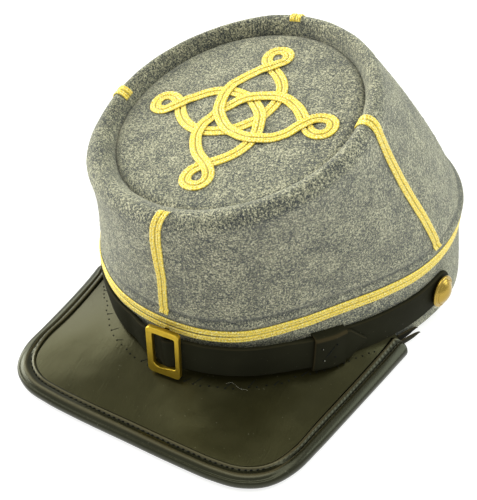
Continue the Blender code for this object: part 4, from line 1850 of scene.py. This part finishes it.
    def build_keeper(self) -> None:
        """Leather loop round both straps, thinned towards the strap's point."""
        form = self.maker.form
        inner = self.keeper_inner()
        half = self.long_wide / 2.0 + form.gap
        high = half + self.keeper_side
        rows = []
        for k in range(self.keeper_steps + 1):
            share = k / self.keeper_steps
            degrees = mix(self.keeper_from, self.keeper_to, share)
            thin = mix(1.0, 0.30, smoothstep(0.55, 1.0, share))
            thin *= mix(0.75, 1.0, smoothstep(0.0, 0.05, share))
            outer = inner + self.keeper_thick * thin
            sag = 0.25 * math.sin(math.pi * share)
            shape = (
                (-high + 0.4, form.gap), (-half, form.gap), (-half, inner), (half, inner),
                (half, form.gap), (high - 0.4, form.gap), (high, outer - 2.2),
                (high - 0.10, outer - 1.2), (high - 0.45, outer - 0.4),
                (high - 1.2, outer + 0.05), (high - 2.4, outer - 0.25), (half * 0.4, outer - sag),
                (-half * 0.4, outer - sag), (-high + 2.2, outer - 0.1), (-high + 1.0, outer),
                (-high + 0.3, outer - 0.5), (-high, outer - 1.6),
            )
            middle = self.middle(degrees)
            rows.append([form.band_point(degrees, middle + rise, out) for rise, out in shape])

        def wear_and_light(row: int, column: int) -> float:
            """Worn top fold of the keeper, lighter also as a painted highlight, and its cut edge.
            """
            if column in (8, 9):
                return 0.8
            return 0.7 if row == 0 and column > 5 else 0.0

        self.leather("strap_keeper_loop", rows, "strap_keeper", wear_and_light)

    def build_cross(self) -> None:
        """Cross stitch on the keeper: one pulled thread, four needle holes, two thread ends."""
        out = self.keeper_inner() + self.keeper_thick - 0.2
        dark = bmesh.new()
        pale = bmesh.new()

        def spot(degrees: float, rise: float, lift: float = 0.0) -> Vector:
            """Point on the keeper's face."""
            return self.maker.form.band_point(degrees, self.middle(degrees) + rise, out + lift)

        for hole in self.holes:
            grain(dark, spot(*hole), (0.42, 0.42, 0.42), segments=(10, 6))
        for degrees, rise in self.holes[::2]:
            grain(pale, spot(degrees + 0.25, rise - 0.2, 0.25), (0.20, 0.20, 0.20))
        start, end = (spot(*place) for place in self.pulled)
        sizes = ((end - start).length / 2.0, 0.24, 0.30)
        grain(dark, (start + end) * 0.5, sizes, end - start, segments=(10, 8))
        self.maker.piece("keeper_cross_thread", dark, self.finishes.thread, Slot.STRAP)
        self.maker.piece("keeper_thread_ends", pale, self.finishes.pale_hair, Slot.STRAP)


# --- Brass ---


@dataclass
class BrassFittings:
    """Buckle with its bar, and the two domed buttons.

    soft: width of the frame's rounded edges; window_rise: how far the window's lower end slants.
    button_outline: (radius, rise) from the middle of the back round to the top.
    beads, bead_ring, bead_size: their number, the (radius, rise) they lie at and their radius.
    """

    maker: Maker
    finishes: Finishes
    strap: ChinStrap
    across: float = -0.15
    height: float = -11.8
    turn: float = 0.2
    swing: float = 3.0
    lean: float = 2.0
    wide: float = 15.9
    tall: float = 26.4
    clear: float = 1.6
    rail: float = 3.0
    rail_left: float = 2.1
    thick: float = 2.2
    soft: float = 0.22
    corners: tuple[float, ...] = (2.2, 2.2, 2.2, 2.2)
    window_corners: tuple[float, ...] = (0.9, 0.9, 4.0, 0.9)
    window_rise: float = 2.4
    bar_wide: float = 2.4
    bar_thick: float = 1.0
    bar_set_back: float = 2.55
    foot: float = 1.6
    bevel: float = 0.25
    button_turn: float = 84.5
    beads: int = 44
    bead_ring: tuple[float, float] = (6.05, 3.02)
    bead_size: float = 0.27
    button_outline: Table = (
        (0.0, 0.0), (6.4, 0.0), (7.4, 0.45), (7.85, 1.0), (8.0, 1.55), (7.9, 2.05), (7.6, 2.35),
        (7.2, 2.42), (6.9, 2.25), (6.7, 2.38), (6.3, 2.85), (5.6, 3.45), (4.6, 4.10), (3.4, 4.68),
        (2.1, 5.10), (1.0, 5.32), (0.0, 5.38),
    )

    def build(self) -> None:
        """Build the buckle and both buttons."""
        self.build_buckle()
        for side in Side:
            self.build_button(side)

    def outline(self, wide: float, tall: float, radii: Sequence[float]) -> list[Vector]:
        """Rounded rectangle whose corners' radii run from the upper one on the wearer's left."""
        points = []
        corners = ((1, 1, 0), (-1, 1, 90), (-1, -1, 180), (1, -1, 270))
        for radius, (cx, cz, first) in zip(radii, corners):
            for step in range(9):
                angle = math.radians(first + 90.0 * step / 8.0)
                x = cx * (wide / 2.0 - radius) + radius * math.cos(angle)
                z = cz * (tall / 2.0 - radius) + radius * math.sin(angle)
                points.append(Vector((x, 0.0, z)))
        return points

    def pose(self) -> Matrix:
        """Place of the buckle: its own side, rear and upright, and its middle."""
        form = self.maker.form
        tilt = Euler([math.radians(a) for a in (-self.lean, -self.turn, self.swing)]).to_matrix()
        stand = 2.0 * (form.gap + self.strap.thick) + self.clear + self.thick / 2.0
        middle = form.band_point(0.0, self.height, stand)
        middle.x = self.across
        return Matrix.Translation(middle) @ tilt.to_4x4()

    def build_buckle(self) -> None:
        """Rounded frame with softened edges, and the bar on its two legs behind the window."""
        outer = self.outline(self.wide, self.tall, self.corners)
        window = (self.wide - self.rail - self.rail_left, self.tall - 2.0 * self.rail)
        inner = self.outline(*window, self.window_corners)
        for point in inner:
            point.x += (self.rail - self.rail_left) / 2.0
            if point.z < 0.0:
                point.z += self.window_rise * max(0.0, 0.5 + point.x / window[0])
        half = self.thick / 2.0
        front = Vector((0.0, -half, 0.0))
        rows = []
        for far, near in zip(outer, inner):
            step = (near - far).normalized() * self.soft
            rows.append(
                [
                    far + front * 0.62,
                    far + step * 0.35 + front * 0.88,
                    far + step + front,
                    far.lerp(near, 0.5) + front,
                    near - step + front,
                    near - step * 0.35 + front * 0.88,
                    near + front * 0.62,
                    near - front * 0.75,
                    near - step - front,
                    far + step - front,
                    far - front * 0.75,
                ]
            )

        def wear_and_light(row: int, column: int) -> float:
            """Darker sides of the frame, round its outside and its window."""
            return 0.3 if column in (0, 6, 7, 10) else 0.0

        data = skin(rows, closed_rows=True, wear_and_light=wear_and_light)
        worn = data.verts.layers.float["wear_and_light"]
        depth = half + self.bar_set_back
        legs = self.tall - 2.0 * self.rail + 1.4
        parts = (
            ((self.bar_wide, self.bar_thick, legs), (0.0, depth - self.bar_thick / 2.0 + 0.3, 0.0)),
            ((self.bar_wide, depth, self.foot), (0.0, depth / 2.0, (legs - self.foot) / 2.0)),
            ((self.bar_wide, depth, self.foot), (0.0, depth / 2.0, (self.foot - legs) / 2.0)),
        )
        for size, place in parts:
            made = bmesh.ops.create_cube(
                data,
                size=1.0,
                matrix=Matrix.Translation(Vector(place)) @ Matrix.Diagonal((*size, 1.0)),
            )
            # The bar and its legs take the dark colour in full: painted shade behind the frame.
            for vert in made["verts"]:
                vert[worn] = 1.0
            edges = list({edge for vert in made["verts"] for edge in vert.link_edges})
            bmesh.ops.bevel(
                data, geom=edges, offset=self.bevel, segments=3, profile=0.5, affect="EDGES",
                material=-1,
            )
        bmesh.ops.transform(data, matrix=self.pose(), verts=data.verts)
        finish = self.finishes.brass
        self.maker.piece("brass_buckle", data, finish, Slot.BRASS, ["buckle"], sharp=40.0)

    def build_button(self, side: Side) -> None:
        """Domed button with a turned rim and a ring of small beads round the dome."""
        form = self.maker.form
        degrees = self.button_turn * side.value
        height = self.strap.middle(degrees)
        base = form.band_point(degrees, height, 2.0 * form.gap + self.strap.thick)
        across = form.band_point(degrees + 1.0, height) - form.band_point(degrees - 1.0, height)
        across.normalize()
        upright = form.band_point(degrees, height + 1.0) - form.band_point(degrees, height - 1.0)
        upright.normalize()
        outward = across.cross(upright).normalized()
        data = bmesh.new()
        data.verts.layers.float.new("wear_and_light")
        line = [data.verts.new((radius, 0.0, rise)) for radius, rise in self.button_outline]
        edges = [data.edges.new(pair) for pair in zip(line, line[1:])]
        bmesh.ops.spin(
            data,
            geom=line + edges,
            cent=(0.0, 0.0, 0.0),
            axis=(0.0, 0.0, 1.0),
            angle=2.0 * math.pi,
            steps=72,
            use_merge=True,
        )
        bmesh.ops.remove_doubles(data, verts=data.verts, dist=1e-4)
        out, rise = self.bead_ring
        for k in range(self.beads):
            angle = 2.0 * math.pi * k / self.beads
            place = Matrix.Translation((math.cos(angle) * out, math.sin(angle) * out, rise))
            bmesh.ops.create_icosphere(data, subdivisions=1, radius=self.bead_size, matrix=place)
        turn = Matrix((across, upright, outward)).transposed().to_4x4()
        bmesh.ops.transform(data, matrix=Matrix.Translation(base) @ turn, verts=data.verts)
        node = "button_" + side.name.lower()
        self.maker.piece(node + "_dome", data, self.finishes.button, Slot.BRASS, [node])


# --- Fibres ---


@dataclass
class LooseFibres:
    """Nap of the felt, and stray hairs that cling to the cap."""

    maker: Maker
    finishes: Finishes
    wall_count: int = 2600
    top_count: int = 800
    band_count: int = 500
    wall_groups: int = 200
    wall_rows: int = 64
    pale_share: float = 0.68
    nap_thick: float = 0.030
    stray_thick: float = 0.035
    seed: int = 11

    def build(self) -> None:
        """Scatter the nap and lay the stray hairs."""
        chance = random.Random(self.seed)
        lines = self.wall_lines(chance) + self.top_lines(chance) + self.band_lines(chance)
        chance.shuffle(lines)
        cut = int(len(lines) * self.pale_share)
        pale, dark = self.finishes.pale_hair, self.finishes.dark_hair
        self.maker.fibres("felt_nap_pale", lines[:cut], self.nap_thick, pale, Slot.FELT)
        self.maker.fibres("felt_nap_dark", lines[cut:], self.nap_thick, dark, Slot.FELT)
        self.maker.fibres("stray_hairs", self.stray_lines(), self.stray_thick, pale, Slot.FELT)

    def fibre(self, start: Vector, outward: Vector, chance: random.Random) -> list[Vector]:
        """One curled fibre lying on a surface.

        Args:
            start: point on the surface.
            outward: the surface's unit normal.
            chance: source of random numbers.

        Returns:
            Points along the fibre.
        """
        flat = Vector([chance.uniform(-1.0, 1.0) for _ in range(3)])
        heading = (flat - outward * flat.dot(outward)).normalized()
        step = chance.uniform(0.35, 0.95)
        lift = chance.uniform(0.05, 0.30)
        curl = chance.uniform(-0.9, 0.9)
        point = start - outward * 0.1
        line = [point]
        for k in range(4):
            heading = (heading + outward.cross(heading) * curl * 0.45).normalized()
            rise = lift if k < 2 else -lift * 0.6
            point = point + heading * step + outward * rise
            line.append(point)
        return line

    def wall_lines(self, chance: random.Random) -> list[list[Vector]]:
        """Fibres on the crown's wall and rim."""
        form = self.maker.form
        lines = []
        for group in range(self.wall_groups):
            degrees = 360.0 * (group + chance.random()) / self.wall_groups
            before, here, after = form.wall_columns(degrees, self.wall_rows)
            for _ in range(self.wall_count // self.wall_groups):
                k = chance.randrange(6, self.wall_rows - 5)
                across = after[k] - before[k]
                outward = across.cross(here[k + 1] - here[k - 1]).normalized()
                point = here[k].lerp(here[k + 1], chance.random())
                point = point + across.normalized() * chance.uniform(-0.7, 0.7)
                lines.append(self.fibre(point, outward, chance))
        return lines

    def top_lines(self, chance: random.Random) -> list[list[Vector]]:
        """Fibres on the flat top."""
        form = self.maker.form
        up = form.top_axes()[2]
        lines = []
        for _ in range(self.top_count):
            degrees = chance.uniform(0.0, 360.0)
            share = math.sqrt(chance.random()) * 0.95
            point = Vector(form.top_centre).lerp(form.rim_point(degrees, 0.0, 0.0), share)
            point += up * form.top_relief(point)
            lines.append(self.fibre(point, up, chance))
        return lines

    def band_lines(self, chance: random.Random) -> list[list[Vector]]:
        """Fibres on the band, above the strap and round the back."""
        form = self.maker.form
        lines = []
        for _ in range(self.band_count):
            degrees = chance.uniform(-180.0, 180.0)
            low = -7.0 if abs(degrees) < 80.0 else form.hem(degrees) + 4.0
            height = chance.uniform(low, -4.0)
            point = form.band_point(degrees, height)
            lines.append(self.fibre(point, form.band_normal(degrees, height), chance))
        return lines

    def stray_lines(self) -> list[list[Vector]]:
        """Longer single hairs: one over the ring of braid, one on the wall."""
        form = self.maker.form
        over_ring = [
            form.band_point(24.5 + 1.1 * k, 5.2 - 2.3 * k + 0.5 * k * (k % 2), 1.9 - 0.1 * k)
            for k in range(5)
        ]
        over_ring.append(form.band_point(26.6, -5.0, 1.2))
        on_wall = []
        for k in range(6):
            column = form.wall_column(3.0 + 1.2 * k, self.wall_rows)
            on_wall.append(column[19 - (k * k) // 6] + around(3.0) * 0.35)
        return [smooth_path(line, False, 3) for line in (over_ring, on_wall)]


# --- Studio ---


@dataclass(frozen=True)
class Lamp:
    """One soft lamp: where it stands, what it looks at, its size, strength and tint."""

    name: str
    place: tuple[float, float, float]
    size: float
    power: float
    tint: Colour = (1.0, 1.0, 1.0)


@dataclass
class Studio:
    """Pale floor, soft lights and the camera."""

    azimuth: float = 28.5
    elevation: float = 40.0
    focal_pixels: float = 800.0
    image_width: float = 477.0
    sensor: float = 36.0
    place: tuple[float, float, float] = (0.1392, -0.2792, 0.2780)
    sky: Colour = (0.98, 1.0, 0.93)
    sky_strength: float = 0.67
    target: tuple[float, float, float] = (0.0, 0.0, 0.06)
    floor_size: float = 4.0
    lamps: tuple[Lamp, ...] = (
        Lamp("left", (-1.25, -0.10, 0.42), 0.8, 13.8, (1.0, 1.0, 0.92)),
        Lamp("left_back", (-1.00, 0.38, 0.74), 0.7, 6.0, (1.0, 1.0, 0.88)),
        Lamp("top", (0.05, 0.05, 1.35), 0.9, 6.0, (1.0, 1.0, 0.92)),
        Lamp("right_back", (0.85, 0.85, 0.75), 1.0, 8.0, (0.92, 1.0, 0.95)),
    )

    def build(self) -> None:
        """Build the whole studio."""
        self.build_floor()
        self.build_sky()
        for lamp in self.lamps:
            self.build_lamp(lamp)
        self.build_camera()
        bpy.context.scene.view_settings.view_transform = "Standard"

    def build_floor(self) -> None:
        """Wide level floor under the cap."""
        data = bmesh.new()
        bmesh.ops.create_grid(data, x_segments=8, y_segments=8, size=self.floor_size)
        floor = show("floor", mesh_of("floor", data))
        floor.data.materials.append(FloorFinish().make())

    def build_sky(self) -> None:
        """Even pale surroundings."""
        world = bpy.data.worlds.new("surroundings")
        world.use_nodes = True
        shade = world.node_tree.nodes["Background"]
        shade.inputs["Color"].default_value = (*self.sky, 1.0)
        shade.inputs["Strength"].default_value = self.sky_strength
        bpy.context.scene.world = world

    def build_lamp(self, lamp: Lamp) -> None:
        """Square soft light aimed at the cap."""
        light = bpy.data.lights.new(lamp.name, "AREA")
        light.shape = "SQUARE"
        light.size = lamp.size
        light.energy = lamp.power
        light.color = lamp.tint
        item = show(lamp.name, light)
        item.location = lamp.place
        aim = Vector(self.target) - Vector(lamp.place)
        item.rotation_euler = aim.to_track_quat("-Z", "Y").to_euler()

    def build_camera(self) -> None:
        """Camera at the photograph's angle."""
        turn, rise = math.radians(self.azimuth), math.radians(self.elevation)
        back = Vector(
            (math.sin(turn) * math.cos(rise), -math.cos(turn) * math.cos(rise), math.sin(rise))
        )
        right = Vector((math.cos(turn), math.sin(turn), 0.0))
        pose = Matrix((right, back.cross(right), back)).transposed().to_4x4()
        lens = bpy.data.cameras.new("camera")
        lens.sensor_fit = "HORIZONTAL"
        lens.sensor_width = self.sensor
        lens.lens = self.focal_pixels / self.image_width * self.sensor
        lens.clip_start = 0.01
        item = show("camera", lens)
        item.matrix_world = Matrix.Translation(self.place) @ pose
        bpy.context.scene.camera = item


def main() -> None:
    """Build every piece in order."""
    logging.basicConfig(level=logging.INFO, format="%(name)s %(message)s")
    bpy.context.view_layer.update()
    maker = Maker(CapForm())
    finishes = Finishes.make()
    FeltCrown(maker, finishes).build()
    GoldBraid(maker, finishes).build()
    LeatherVisor(maker, finishes).build()
    strap = ChinStrap(maker, finishes)
    strap.build()
    BrassFittings(maker, finishes, strap).build()
    LooseFibres(maker, finishes).build()
    Studio().build()


if __name__ == "__main__":
    main()
